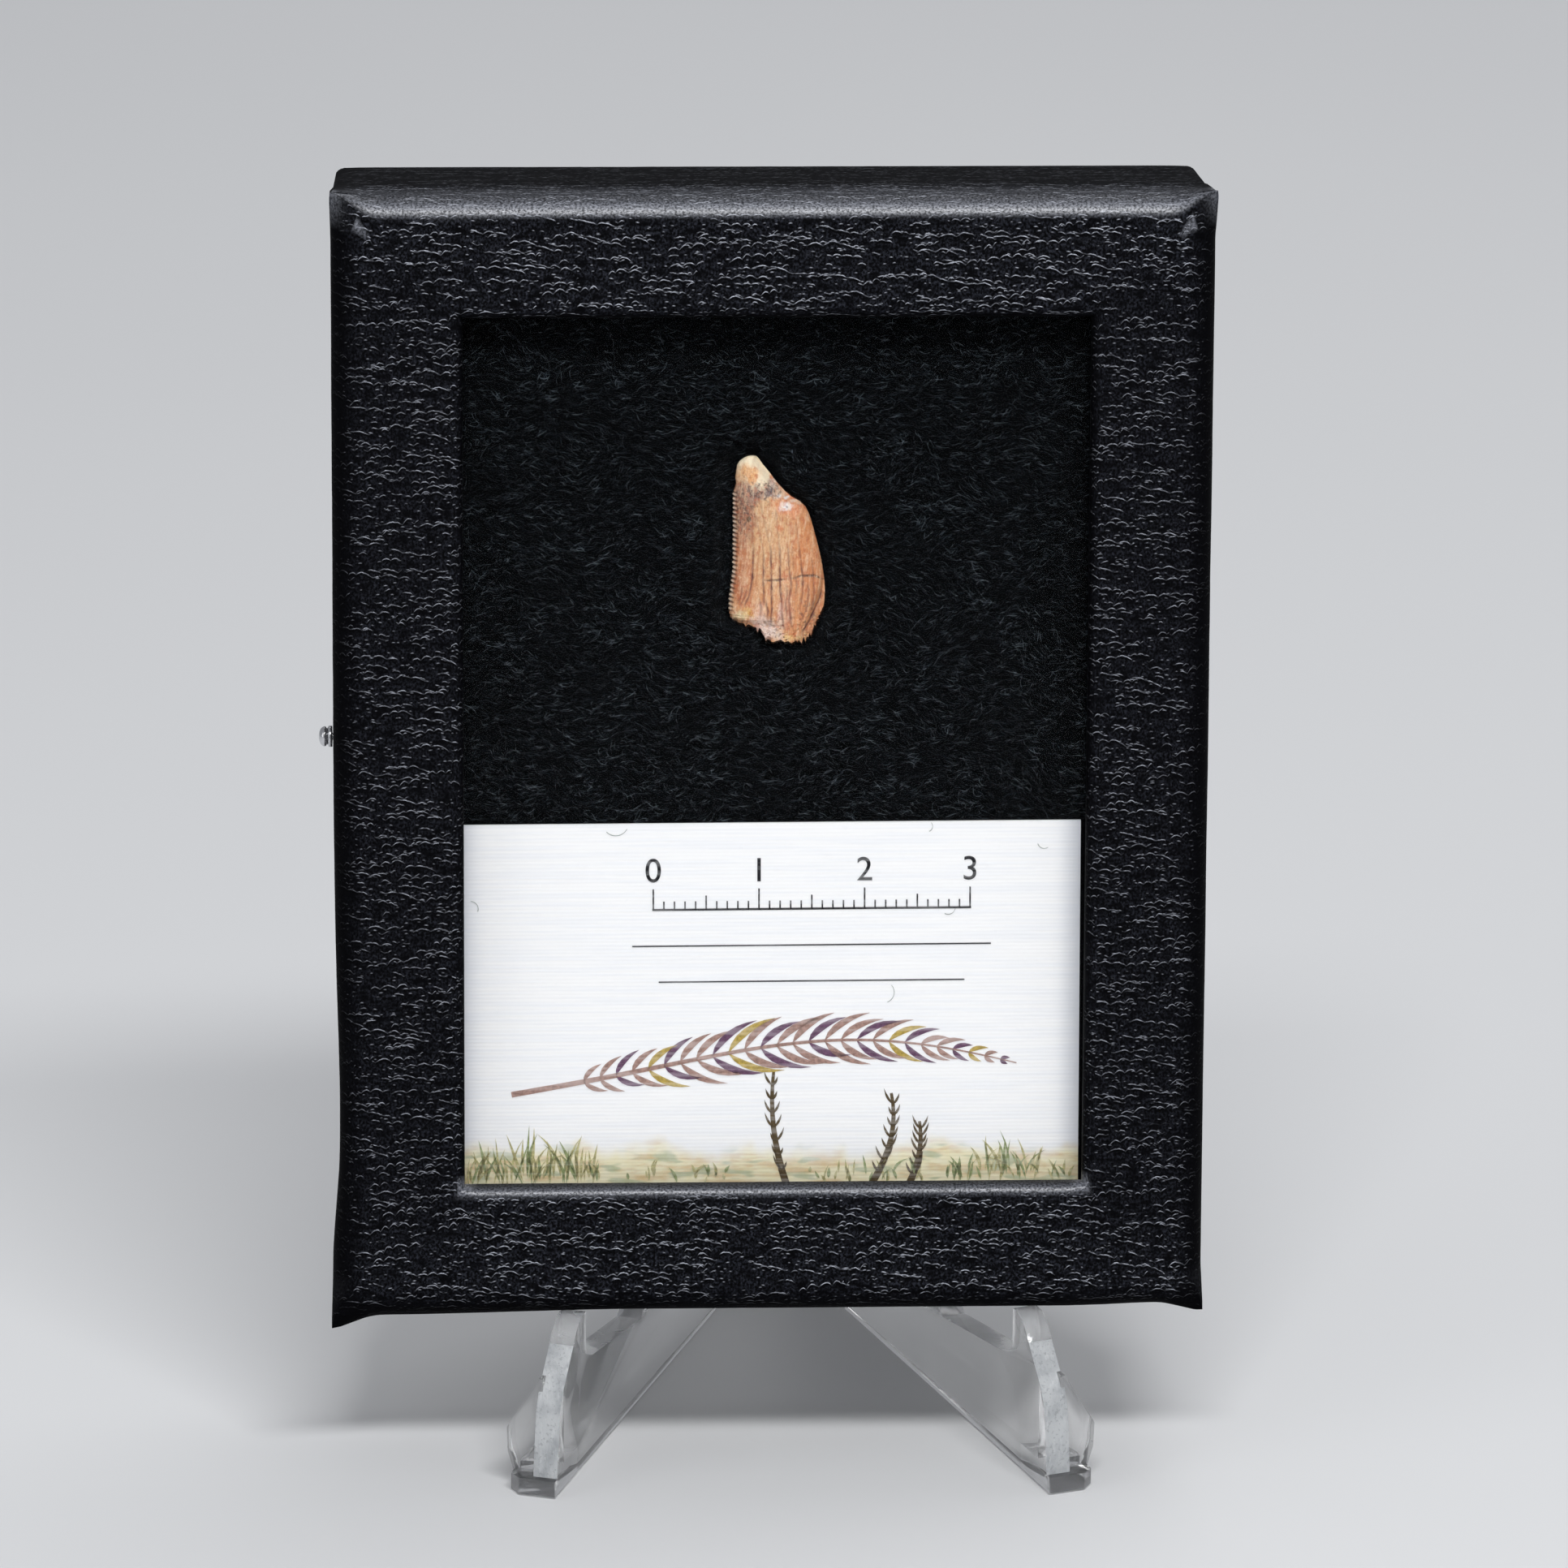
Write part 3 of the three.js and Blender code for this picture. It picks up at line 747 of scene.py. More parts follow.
# [height from the tooth's middle, left edge, right edge, thickness]
TOOTH_ROWS = np.array(
    [
        [-8.86, 0.1, 2.45, 1.1],
        [-8.66, -0.75, 3.02, 1.9],
        [-8.2, -1.42, 3.3, 2.5],
        [-7.75, -1.93, 3.53, 2.8],
        [-7.55, -2.02, 3.62, 2.95],
        [-7.3, -2.9, 3.73, 3.03],
        [-7.12, -3.95, 3.8, 3.1],
        [-6.78, -4.27, 3.96, 3.18],
        [-6.4, -4.45, 4.13, 3.27],
        [-5.79, -4.48, 4.42, 3.35],
        [-5.1, -4.46, 4.5, 3.4],
        [-3.98, -4.32, 4.52, 3.45],
        [-2.73, -4.17, 4.42, 3.45],
        [-1.85, -4.1, 4.3, 3.42],
        [-0.55, -4.1, 4.03, 3.38],
        [0.84, -4.1, 3.68, 3.3],
        [1.95, -4.1, 3.34, 3.2],
        [2.92, -4.11, 3.06, 3.05],
        [3.75, -4.12, 2.66, 2.9],
        [4.3, -4.12, 2.1, 2.8],
        [4.75, -4.12, 1.3, 2.7],
        [5.3, -4.1, 0.7, 2.6],
        [5.99, -3.9, 0.05, 2.45],
        [6.96, -3.95, -0.65, 2.2],
        [7.79, -3.81, -1.3, 1.9],
        [8.3, -3.55, -1.65, 1.55],
        [8.62, -3.15, -1.87, 1.1],
        [8.84, -2.72, -2.08, 0.6],
    ]
)


def tooth_row(s):
    """Left edge, right edge and thickness of the tooth at a height."""
    return [float(np.interp(s, TOOTH_ROWS[:, 0], TOOTH_ROWS[:, k])) for k in (1, 2, 3)]


def off_tooth(x, s):
    """How far a place on the wadding is outside the tooth's outline."""
    up, across = s - TOOTH_S, x - TOOTH_X
    left, right, _ = tooth_row(min(8.8, max(-8.6, up)))
    return max(left - across, across - right, up - TOOTH_TOP, TOOTH_FOOT - up)


def wadding_front(x, s):
    """Depth of the fleece's surface behind the case's front."""
    over_card = max(abs(x - CARD_X) - CARD_W / 2, s - CARD_TOP) - 0.7
    depth = WAD_BY_CARD + (WAD_N - WAD_BY_CARD) * ease(0, 1.4, over_card)
    off = off_tooth(x, s)
    base = ease(-5.2, -7.0, s - TOOTH_S)
    bed = WAD_N + (2.1 + 1.3 * base) * (1 - ease(-0.2, 2.6 - 0.7 * base, off))
    bed += (1.6 - 1.3 * base) * ease(0.1, -1.1, off)
    fleece = 0.13 * waves(x / 1.7, s / 1.7, 3) + 0.1 * waves(x / 6, s / 6, 7)
    return max(depth, bed) + fleece * ease(-0.3, 0.8, over_card)


def make_wadding():
    pad = fresh(
        "wadding_pad", bpy.ops.mesh.primitive_grid_add, x_subdivisions=200, y_subdivisions=266, size=2,
        rotation=(math.pi / 2, 0, 0), scale=(WAD_HALF_W, WAD_HALF_H, 1), location=(0, 0, MID_S),
    )
    for v in pad.data.vertices:
        v.co.y = wadding_front(v.co.x, v.co.z)
    give_back(pad, WAD_BACK, 4.0, 4.0)
    return pad


def black_cotton(name, low, high, soft):
    """Matt black cotton, its strands drawn out across the pad, with a faint sheen."""
    sheen = colour(110, 122, 128)
    finish = Finish(name, Specular_IOR_Level=0.04, Sheen_Weight=soft, Sheen_Roughness=0.6, Sheen_Tint=sheen)
    where = finish.place()
    bend = finish.grain(where, 500, 2.0, out="Color")
    curl = finish.shift(finish.mapped(where, Scale=(1000, 1000, 1000)), bend, 2.2)
    strand = finish.drawn_grain(curl, (0.8, 1, 3.2), 4.0, 0.7, Rotation=(0, 0.4, 0))
    cloud = finish.grain(where, 210, 3.0)
    tint = finish.coats(
        colour(*low), (strand.rise(0.42, 0.72), high), (cloud.rise(0.4, 0.7) * 0.45, low)
    )
    finish.set(Base_Color=tint, Roughness=0.85 + strand * 0.15, Normal=finish.bump(strand, 0.00022))
    return finish.material


wadding_pad = make_wadding()
wadding_pad.data.materials.append(black_cotton("black_cotton", (2, 2, 3), (16, 19, 22), soft=0.06))
into_case(wadding_pad)
smooth_edges(wadding_pad, 60)
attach(wadding_pad, "root")
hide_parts("wadding")


def across_path(path, k):
    """The direction square to a path at its k-th place."""
    (x0, s0), (x1, s1) = path[max(k - 1, 0)][:2], path[min(k + 1, len(path) - 1)][:2]
    size = math.hypot(x1 - x0, s1 - s0) or 1.0
    return -(s1 - s0) / size, (x1 - x0) / size


def from_outlines(name, points, faces):
    """A piece made straight from points and faces, all of them facing outwards."""
    mesh = bpy.data.meshes.new(name)
    mesh.from_pydata(points, [], faces)
    piece = into_scene(name, mesh)
    edit(piece)
    done_outwards()
    return piece


def lay_fibres(name, count, seed, length, thick, rise):
    """A layer of short curled fibres on the fleece, each a thin three-sided strand."""
    draw = random.Random(seed)
    joints, sides = 6, 3
    points, faces = [], []
    while len(points) < count * joints * sides:
        x = draw.uniform(-WINDOW_W / 2 - 0.6, WINDOW_W / 2 + 0.6) + WINDOW_X
        s = draw.uniform(CARD_TOP - 0.2, WINDOW_S + WINDOW_H / 2 + 0.6)
        heading = 1.1 * waves(x / 4.5, s / 4.5, 9, 2) + draw.gauss(0.0, 0.45)
        curl = draw.gauss(0, 1.2)
        long = length * draw.uniform(0.5, 1.5)
        lift = rise * draw.uniform(0.2, 1.0)
        sway = draw.uniform(-0.4, 0.4)
        if off_tooth(x, s) < 0.25:
            continue
        spine = []
        for k in range(joints):
            t = k / (joints - 1)
            spine.append([x, s, wadding_front(x, s) - 0.02 - lift * math.sin(math.pi * t) ** 0.8])
            turn = heading + curl * (t - 0.5) + sway * math.sin(7 * t)
            x += math.cos(turn) * long / joints
            s += math.sin(turn) * long / joints
        for k, (px, ps, pn) in enumerate(spine):
            nx, ns = across_path(spine, k)
            r = thick * (0.35 if k in (0, joints - 1) else 1.0)
            pn = max(pn, GLASS_BACK)
            for q in range(sides):
                a = 2 * math.pi * q / sides
                points.append(
                    (px + nx * r * math.cos(a), pn - r * math.sin(a), ps + ns * r * math.cos(a))
                )
        start = len(points) - joints * sides
        for k in range(joints - 1):
            for q in range(sides):
                a, b = start + k * sides + q, start + k * sides + (q + 1) % sides
                faces.append((a, b, b + sides, a + sides))
        faces.append(tuple(start + q for q in range(sides))[::-1])
        faces.append(tuple(start + (joints - 1) * sides + q for q in range(sides)))
    piece = from_outlines(name, points, faces)
    into_case(piece)
    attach(piece, "root")
    return piece


# the layers are tinted lighter the higher they lie: painted light on the loose fibres and painted shade on
# the deep ones
for name, count, seed, length, thick, rise, tint in (
    ("wadding_fibres_deep", 6000, 11, 1.0, 0.06, 0.12, (34, 38, 43)),
    ("wadding_fibres_mid", 6000, 13, 1.1, 0.05, 0.2, (56, 64, 71)),
    ("wadding_fibres_loose", 4600, 12, 1.5, 0.036, 0.34, (100, 110, 118)),
):
    fibres = lay_fibres(name, count, seed, length, thick, rise)
    fibres.data.materials.append(black_cotton(name + "_cotton", (9, 11, 13), tint, soft=0.04))
    bpy.ops.object.shade_smooth()

# ---- Tooth ----
# The crown of a small meat-eating dinosaur's tooth, turned to mineral. It has beaded cutting teeth
# down its straight edge, furrowed enamel, a worn tip, a hairline crack and a broken base.

# the depth of its foremost point, which lies against the glass
TOUCH_N = 4.4
# the spacing of the denticles, how far they stand out and the heights they lie between
DENTICLE, DENTICLE_OUT = 0.44, 0.21
DENTICLES_FROM, DENTICLES_TO = -6.2, 5.24
# the enamel's points, up the tooth and round it
ROWS, ROUND = 396, 236
FURROW_DEEP, CRACK_DEEP, GAP_DEEP = 0.055, 0.08, 0.13
# how low the broken base reaches at places across it
BREAK_X = (-4.4, -2.9, -2.0, 0.2, 2.6, 3.6)
BREAK_S = (-6.9, -7.15, -7.5, -8.75, -8.8, -7.8)
# Each furrow: (depth, [(height, place across), ...]) from its base end to its tip end.
FURROWS = (
    (1.0, ((-5.5, -3.1), (-4.5, -2.6), (-2.9, -2.4), (-1.5, -2.3), (0.5, -2.32), (2.4, -2.38))),
    (0.6, ((-5.6, -3.5), (-4.7, -3.05), (-3.7, -2.85))),
    (0.45, ((-5.4, -3.75), (-4.6, -3.4), (-3.9, -3.3))),
    (0.8, ((-5.3, -1.25), (-4.5, -1.28), (-2.9, -1.35), (-0.5, -1.3), (1.0, -1.62), (3.0, -2.02))),
    (1.0, ((-7.1, -0.62), (-5.5, -0.53), (-2.9, -0.58), (-0.2, -0.64), (1.5, -1.02), (4.2, -1.62),
           (5.6, -2.1))),
    (0.9, ((-7.6, 0.62), (-6.9, 0.48), (-4.9, 0.36), (-3.4, 0.23), (-0.2, 0.2), (1.9, -0.03),
           (3.8, -0.25))),
    (0.7, ((-7.5, 1.35), (-6.9, 1.28), (-4.9, 1.08), (-3.6, 1.33), (-2.3, 1.14), (-0.1, 0.98),
           (1.2, 0.8))),
    (0.75, ((-5.2, 2.3), (-4.3, 2.36), (-3.4, 2.42), (-1.5, 2.24), (0.4, 2.0), (2.2, 1.76))),
    (0.5, ((-5.8, 3.3), (-4.2, 3.5), (-2.3, 3.36), (-1.2, 3.3))),
    (0.7, ((-6.5, -1.62), (-5.6, -1.52), (-4.8, -1.7))),
    (0.8, ((-6.8, -0.95), (-6.0, -0.9), (-5.1, -1.1))),
    (0.6, ((-6.4, 0.86), (-5.2, 0.78), (-4.2, 0.92), (-3.6, 0.82))),
    (0.5, ((-4.4, 1.75), (-3.4, 1.8), (-2.6, 1.62))),
    (0.35, ((-1.9, 1.5), (0.2, 1.35), (2.4, 1.0))),
    (0.3, ((-1.0, -0.2), (1.2, -0.5), (3.2, -0.95))),
    (1.1, ((-8.0, 2.5), (-7.0, 3.12), (-6.0, 3.6), (-5.2, 3.95), (-4.4, 4.2))),
    (0.6, ((-7.2, 2.2), (-6.2, 2.62), (-5.0, 2.95), (-3.6, 2.9))),
)
# The hairline crack: (place across, height, strength)
CRACK = (
    (-1.3, -3.06, 0.3), (-0.6, -3.04, 0.75), (0.4, -2.98, 0.7), (0.75, -2.92, 0.1), (1.7, -2.86, 0.5),
    (1.95, -2.76, 1.0), (2.4, -2.68, 1.0), (3.5, -2.78, 1.0), (3.9, -2.96, 0.6), (4.4, -3.22, 0.45),
)
# Stains: (across, height, reach across, reach up, strength, screen colour)
STAINS = (
    (-1.3, 1.4, 2.9, 5.6, 0.75, (222, 178, 130)),
    (0.3, -1.5, 1.1, 4.6, 0.45, (232, 186, 140)),
    (-1.0, 3.2, 1.3, 2.2, 0.6, (226, 186, 142)),
    (2.9, -0.8, 1.3, 4.2, 0.85, (222, 146, 92)),
    (3.3, -4.0, 1.2, 3.6, 0.6, (216, 142, 94)),
    (-3.4, -1.6, 0.8, 3.2, 0.95, (204, 128, 84)),
    (-3.7, -3.6, 0.5, 1.6, 0.8, (196, 118, 78)),
    (-2.7, -3.2, 0.7, 2.6, 0.45, (210, 146, 106)),
    (-3.1, 3.0, 1.1, 2.9, 0.9, (176, 126, 98)),
    (-3.4, 0.9, 0.7, 1.4, 0.7, (190, 124, 88)),
    (-2.9, 5.3, 1.3, 1.3, 0.85, (164, 134, 118)),
    (-1.5, 5.5, 1.5, 0.8, 0.85, (166, 146, 132)),
    (-0.5, 5.35, 0.85, 0.55, 0.95, (128, 122, 122)),
    (-0.36, 5.4, 0.42, 0.3, 0.95, (84, 84, 92)),
    (-0.75, 5.05, 0.4, 0.2, 0.75, (112, 104, 106)),
    (-1.15, 5.75, 0.36, 0.26, 0.8, (130, 116, 110)),
    (-1.05, 6.35, 0.3, 0.24, 0.6, (168, 148, 128)),
    (-2.2, 5.1, 0.34, 0.3, 0.6, (118, 92, 88)),
    (-3.3, 4.4, 0.42, 0.7, 0.6, (128, 92, 82)),
    (-3.0, 3.5, 0.38, 0.6, 0.65, (126, 90, 82)),
    (-3.6, 2.9, 0.3, 0.5, 0.5, (120, 84, 74)),
    (-3.45, 2.2, 0.3, 0.8, 0.55, (150, 104, 90)),
    (-2.05, 6.05, 0.34, 0.24, 0.85, (104, 90, 92)),
    (-1.75, 6.4, 0.34, 0.2, 0.55, (140, 124, 110)),
    (-2.6, 8.0, 1.7, 1.7, 1.0, (255, 240, 208)),
    (-1.5, 7.0, 1.0, 1.35, 1.0, (255, 238, 206)),
    (-3.0, 7.3, 0.9, 1.0, 0.6, (242, 190, 132)),
    (-2.75, 7.15, 0.8, 0.62, 0.7, (242, 180, 118)),
    (-2.4, 6.75, 0.6, 0.42, 0.6, (236, 164, 100)),
    (-3.2, 7.35, 0.4, 0.5, 0.5, (240, 186, 128)),
    (-3.4, 6.7, 0.4, 0.5, 0.5, (232, 188, 142)),
    (-0.35, 6.15, 0.5, 0.5, 0.8, (234, 216, 204)),
    (0.3, 5.15, 0.7, 0.6, 0.8, (242, 210, 182)),
    (1.3, 4.05, 1.7, 0.95, 0.95, (232, 146, 100)),
    (0.1, 5.0, 0.24, 0.14, 1.0, (250, 244, 242)),
    (0.85, 4.72, 0.34, 0.13, 1.0, (248, 240, 236)),
    (1.55, 4.42, 0.42, 0.12, 0.9, (246, 226, 208)),
    (2.1, 4.2, 0.34, 0.2, 0.8, (244, 214, 184)),
    (1.9, 3.3, 0.6, 0.42, 0.7, (238, 172, 130)),
    (2.7, 3.2, 0.55, 1.1, 0.6, (228, 158, 110)),
    (0.74, 3.9, 0.66, 0.42, 1.0, (250, 244, 242)),
    (0.5, 4.2, 0.3, 0.2, 0.9, (242, 214, 206)),
    (0.84, 3.9, 0.12, 0.15, 0.85, (138, 128, 134)),
    (-2.72, 2.72, 0.2, 0.3, 1.0, (62, 58, 38)),
    (0.15, 1.95, 0.32, 0.34, 0.8, (216, 120, 66)),
    (1.25, 1.9, 0.36, 0.5, 0.4, (206, 140, 110)),
    (-2.75, -6.3, 0.5, 0.6, 0.9, (228, 184, 92)),
    (-3.6, -6.6, 0.8, 0.5, 0.9, (232, 216, 170)),
    (-1.6, -5.9, 0.6, 1.1, 0.65, (236, 196, 176)),
    (-0.95, -7.7, 1.25, 1.05, 0.95, (244, 220, 210)),
    (-1.9, -6.9, 0.8, 0.6, 0.8, (240, 210, 194)),
    (-0.2, -8.35, 0.8, 0.4, 0.7, (246, 228, 218)),
    (0.7, -5.9, 0.8, 1.8, 0.55, (210, 152, 134)),
    (0.3, -6.6, 0.35, 1.3, 0.6, (238, 206, 196)),
    (2.4, -6.4, 1.0, 1.6, 0.55, (224, 156, 104)),
    (1.4, -8.6, 1.3, 0.26, 0.9, (246, 206, 142)),
    (0.75, -2.75, 0.5, 0.35, 0.5, (214, 124, 92)),
)


def furrow_at(x, s):
    """How deep in a furrow a place on the enamel is, from 0 to 1."""
    deepest = 0.0
    for depth, path in FURROWS:
        if not path[0][0] - 0.4 < s < path[-1][0] + 0.4:
            continue
        at = float(np.interp(s, [p[0] for p in path], [p[1] for p in path]))
        at += 0.05 * waves(s * 1.1, path[0][1] * 5, 1)
        if abs(x - at) > 0.35:
            continue
        low, high = path[0][0], path[-1][0]
        run = ease(low - 0.4, low + 0.4, s) * ease(high + 0.4, high - 0.4, s)
        worn = 0.9 + 0.5 * waves(s * 1.3, path[0][1] * 9, 5, 2)
        across = bump_at(x - at, 0.06 + 0.03 * worn)
        deepest = max(deepest, depth * run * across * min(1.25, max(0.3, worn)))
    # they are faint above the crown's middle
    return deepest * (1.12 - 0.8 * ease(-2.4, 1.2, s))


def crack_at(x, s):
    """How strong the hairline crack is at a place."""
    if not CRACK[0][0] < x < CRACK[-1][0]:
        return 0.0
    at, strong = (float(np.interp(x, [c[0] for c in CRACK], [c[k] for c in CRACK])) for k in (1, 2))
    at += 0.05 * waves(x * 2.2, 4, 4)
    return 1.6 * strong * bump_at(s - at, 0.1) * (0.9 + 0.4 * waves(x * 3, 1, 8))


# the painted highlight on each denticle's bead
BEAD_HIGHLIGHT = np.array(colour(255, 240, 220)[:3])
# the near-black colour the crack is painted
CRACK_DARK = np.array(colour(30, 30, 30)[:3])


def stained(x, s):
    """The enamel's colour at a place, its stains laid over each other with ragged edges."""
    tint = np.array(colour(222, 155, 104)[:3])
    wx = x + 0.35 * waves(x * 1.1, s * 0.9, 11) + 0.14 * waves(x * 4, s * 4, 12)
    ws = s + 0.4 * waves(x * 1.1, s * 0.9, 13) + 0.16 * waves(x * 4, s * 4, 14)
    for sx, ss, rx, rs, strength, rgb in STAINS:
        # small stains are bent less, so that they keep their place
        ragged = 0.3 if rx < 0.5 else 1.0
        px, ps = x + ragged * (wx - x), s + ragged * (ws - s)
        d = math.hypot((px - sx) / rx, (ps - ss) / rs)
        if d < 1.4:
            mask = strength * (1 - ease(0.55, 1.3, d))
            tint = tint * (1 - mask) + np.array(colour(*rgb)[:3]) * mask
    return tint


# Grime in the enamel's pits: (across, height, reach across, reach up, strength)
GRIME = (
    (-3.1, 3.6, 1.3, 3.0, 0.8),
    (-1.3, 5.6, 1.6, 1.0, 1.0),
    (-2.9, 5.4, 1.3, 1.1, 0.8),
    (-0.4, 5.3, 1.0, 0.7, 1.0),
    (2.9, -6.4, 1.0, 2.0, 0.6),
    (0.0, -7.0, 1.8, 1.2, 0.4),
)


def grimy(x, s):
    """How much grime the enamel's pits hold at a place."""
    x, s = x + 0.4 * waves(x, s, 41), s + 0.4 * waves(x, s, 43)
    return max(
        strength * (1 - ease(0.4, 1.3, math.hypot((x - gx) / rx, (s - gs) / rs)))
        for gx, gs, rx, rs, strength in GRIME
    )


def shape_tooth():
    """The tooth from a round ball of points, each moved to its place on the crown."""
    tooth = fresh(
        "fossil_tooth", bpy.ops.mesh.primitive_uv_sphere_add, segments=ROUND, ring_count=ROWS, radius=1
    )
    tints, shaded_hollows, gaps, grimes = [], [], [], []
    for v in tooth.data.vertices:
        down = math.acos(max(-1, min(1, v.co.z))) / math.pi
        s = TOOTH_TOP - (TOOTH_TOP - TOOTH_FOOT) * down
        turn = math.atan2(v.co.y, v.co.x)
        front = turn <= 0
        t = (1 + math.cos(turn)) / 2
        left, right, thick = tooth_row(s)
        ragged = ease(-6.2, -6.9, s) * 0.5 * waves(s * 5.5, 2, 2) + 0.045 * waves(s * 2.2, 8, 1)
        left, right = left + ragged, right + 0.5 * ragged + 0.02 * waves(s * 6, 5, 5)
        x = left + (right - left) * t
        from_left, from_right = x - left, right - x
        # the crown's own width and thickness run on to the break, where the surface stops short
        whole_left = min(left, -4.05 + 0.3 * ease(-6, -9, s))
        whole_right = max(right, 4.4 + 0.12 * (s + 6))
        broken = ease(-5.4, -6.2, s)
        across = max(0.0, min(1.0, (x - whole_left) / (whole_right - whole_left)))
        across = t + (across - t) * broken
        stop = min(1.0, max(0.0, min(from_left, from_right)) / 0.1) ** 0.5
        stop = 1 + (stop - 1) * broken
        thick += (3.3 - 0.12 * (-6 - s) - thick) * broken
        bulge = max(0.0, math.sin(math.pi * across**0.9)) ** 0.62 * stop
        n = thick / 2 * bulge
        groove, crack, gap, bead = 0.0, 0.0, 0.0, 0.0
        on = ease(DENTICLES_FROM - 0.1, DENTICLES_FROM + 0.1, s)
        on *= ease(DENTICLES_TO + 0.1, DENTICLES_TO - 0.1, s)
        if on:
            phase = (s - DENTICLES_FROM + 0.12 * from_left) / DENTICLE
            beat = abs(math.sin(math.pi * phase))
            stands = DENTICLE_OUT + 0.06 * waves(math.floor(phase) * 0.7, 3, 3, 1)
            x -= stands * (beat - 0.6) * on * bump_at(from_left, 0.2)
            gap = (1 - beat) ** 1.05 * on * (1 - ease(0.2, 0.5, from_left))
            n -= GAP_DEEP * gap * ease(0.0, 0.15, from_left)
            bead = beat**1.6 * on * (1 - ease(0.12, 0.3, from_left))
        serration = ease(-3.0, -2.4, s) * ease(1.8, 1.2, s) * (1 - ease(0.05, 0.3, from_right))
        x -= 0.05 * serration * abs(math.sin(math.pi * s / 0.2))
        if front:
            groove = furrow_at(x, s)
            crack = crack_at(x, s)
            n -= FURROW_DEEP * groove + CRACK_DEEP * max(0.0, crack)
            n += 0.05 * waves(x * 0.9, s * 0.5, 1) * bulge + 0.02 * waves(x * 4.5, s * 1.4, 2)
            # the flat that is worn on the lower right, and the one down from the tip
            facet = x - (4.35 - 0.42 * max(0.0, -3.6 - s)) if s < -3.2 else -1
            if facet > -0.45:
                n -= 0.35 * ease(-0.45, 0.35, facet)
            worn = (x - right) + 1.1
            if s > 3.6 and worn > 0:
                n -= 0.3 * ease(0, 1.1, worn) * ease(3.6, 4.6, s)
        else:
            n += 0.05 * waves(x * 0.7, s * 0.6, 6) * bulge + 0.03 * waves(x * 3, s * 2, 9)
        chips = ease(-6.0, -7.6, s) * max(0.0, waves(x * 2.6, s * 2.6, 21)) * 0.3
        if front and s < -6 and x < 0.3:
            n -= 0.35 * ease(-6.7, -7.6, s) * ease(0.3, -0.6, x)
        n = max(0.02, n - chips * bulge)
        low_edge = np.interp(x, BREAK_X, BREAK_S)
        jag = 0.6 * waves(x * 3.3, 5, 31) + 0.14 * waves(x * 12, 9, 33)
        s += jag * (1 - ease(0.0, 0.5, s - low_edge))
        tip = ease(6.4, 8.6, s)
        n += 0.06 * tip * waves(x * 2.4, s * 2.4, 17) * bulge
        v.co = TOOTH_X + x, TOUCH_N + thick / 2 + (-n if front else n), TOOTH_S + s
        tint = stained(x, s)
        # a painted highlight on each denticle's bead
        tint = tint + (BEAD_HIGHLIGHT - tint) * 0.95 * bead
        # the crack is painted near-black along its line
        tint = tint + (CRACK_DARK - tint) * min(1.0, max(0.0, crack)) * 0.95
        tints.extend((*tint, 1.0))
        shaded_hollows.append(groove)
        gaps.append(gap)
        grimes.append(grimy(x, v.co.z - TOOTH_S) if front else 0.0)
    mark(tooth, "stains_and_glints", tints, "FLOAT_COLOR")
    mark(tooth, "grime", grimes)
    mark(tooth, "hollow", shaded_hollows)
    mark(tooth, "gap", gaps)
    edit(tooth)
    done_outwards()
    return tooth


def enamel():
    """Enamel turned to orange stone: streaked, mottled and veined, with grime in its pits and painted shade
    between its denticles.
    """
    finish = Finish("fossil_enamel", Specular_IOR_Level=0.45)
    stains_and_glints = finish.marked("stains_and_glints", "Color")
    hollow, gap, grime = (finish.marked(name) for name in ("hollow", "gap", "grime"))
    sheared = finish.mapped(finish.place(), Rotation=(0, -0.1, 0), Scale=(1000, 1000, 1000))
    streaks = finish.drawn_grain(sheared, (3.4, 1, 0.36), 4.0, 0.6)
    wrinkles = finish.drawn_grain(sheared, (9.0, 1, 1.2), 3.0, 0.62)
    veins = (finish.drawn_grain(sheared, (1.9, 1, 1.3), 4.0, 0.66) - 0.5).size()
    mottle = finish.grain(sheared, 2.2, 5.0, 0.7)
    fleck = finish.grain(sheared, 5.5, 2.0, 0.6)
    pits = finish.grain(sheared, 2.9, 3.0, 0.7)
    # the pale tip is cleaner than the rest
    worn = 1 - stains_and_glints.rise(0.55, 0.85) * 0.75
    tint = finish.coats(
        stains_and_glints,
        (streaks.rise(0.46, 0.64) * 0.4, (250, 220, 182)),
        (streaks.fall(0.32, 0.45) * worn * 0.34, (184, 112, 80)),
        (mottle.fall(0.36, 0.48) * worn * 0.6, (196, 100, 62)),
        (mottle.rise(0.54, 0.66) * 0.48, (252, 220, 182)),
        (pits.fall(0.3, 0.4) * worn * 0.5, (150, 84, 60)),
        (wrinkles.rise(0.55, 0.68) * 0.3, (255, 236, 212)),
        (wrinkles.fall(0.34, 0.44) * worn * 0.28, (150, 90, 70)),
        (veins.fall(0.0, 0.05) * worn * 0.4, (188, 112, 74)),
        (fleck.rise(0.62, 0.74) * 0.3, (254, 244, 230)),
        (grime * pits.fall(0.4, 0.5) * 0.9, (84, 66, 62)),
        (hollow * (0.72 + fleck * 0.4), (104, 58, 54)),
        # painted shade in the gaps between the denticles
        (gap, (78, 40, 32)),
    )
    height = streaks * 0.4 + mottle * 0.4 + wrinkles * 0.3 + fleck * 0.2
    finish.set(
        Base_Color=tint,
        Roughness=0.42 + mottle * 0.22 + hollow * 0.15,
        Normal=finish.bump(height, 0.00015),
    )
    return finish.material


fossil_tooth = shape_tooth()
fossil_tooth.data.materials.append(enamel())
into_case(fossil_tooth)
smooth_edges(fossil_tooth, 60)
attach(fossil_tooth, "root")
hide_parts("tooth")

# ---- Card ----
# A card of white laid paper with fine ribs across it, held between the wadding and the glass.
RIB, RIB_HIGH = 0.36, 0.008
CARD_TURN = math.radians(0.2)
CARD_MID = CARD_TOP - CARD_H / 2


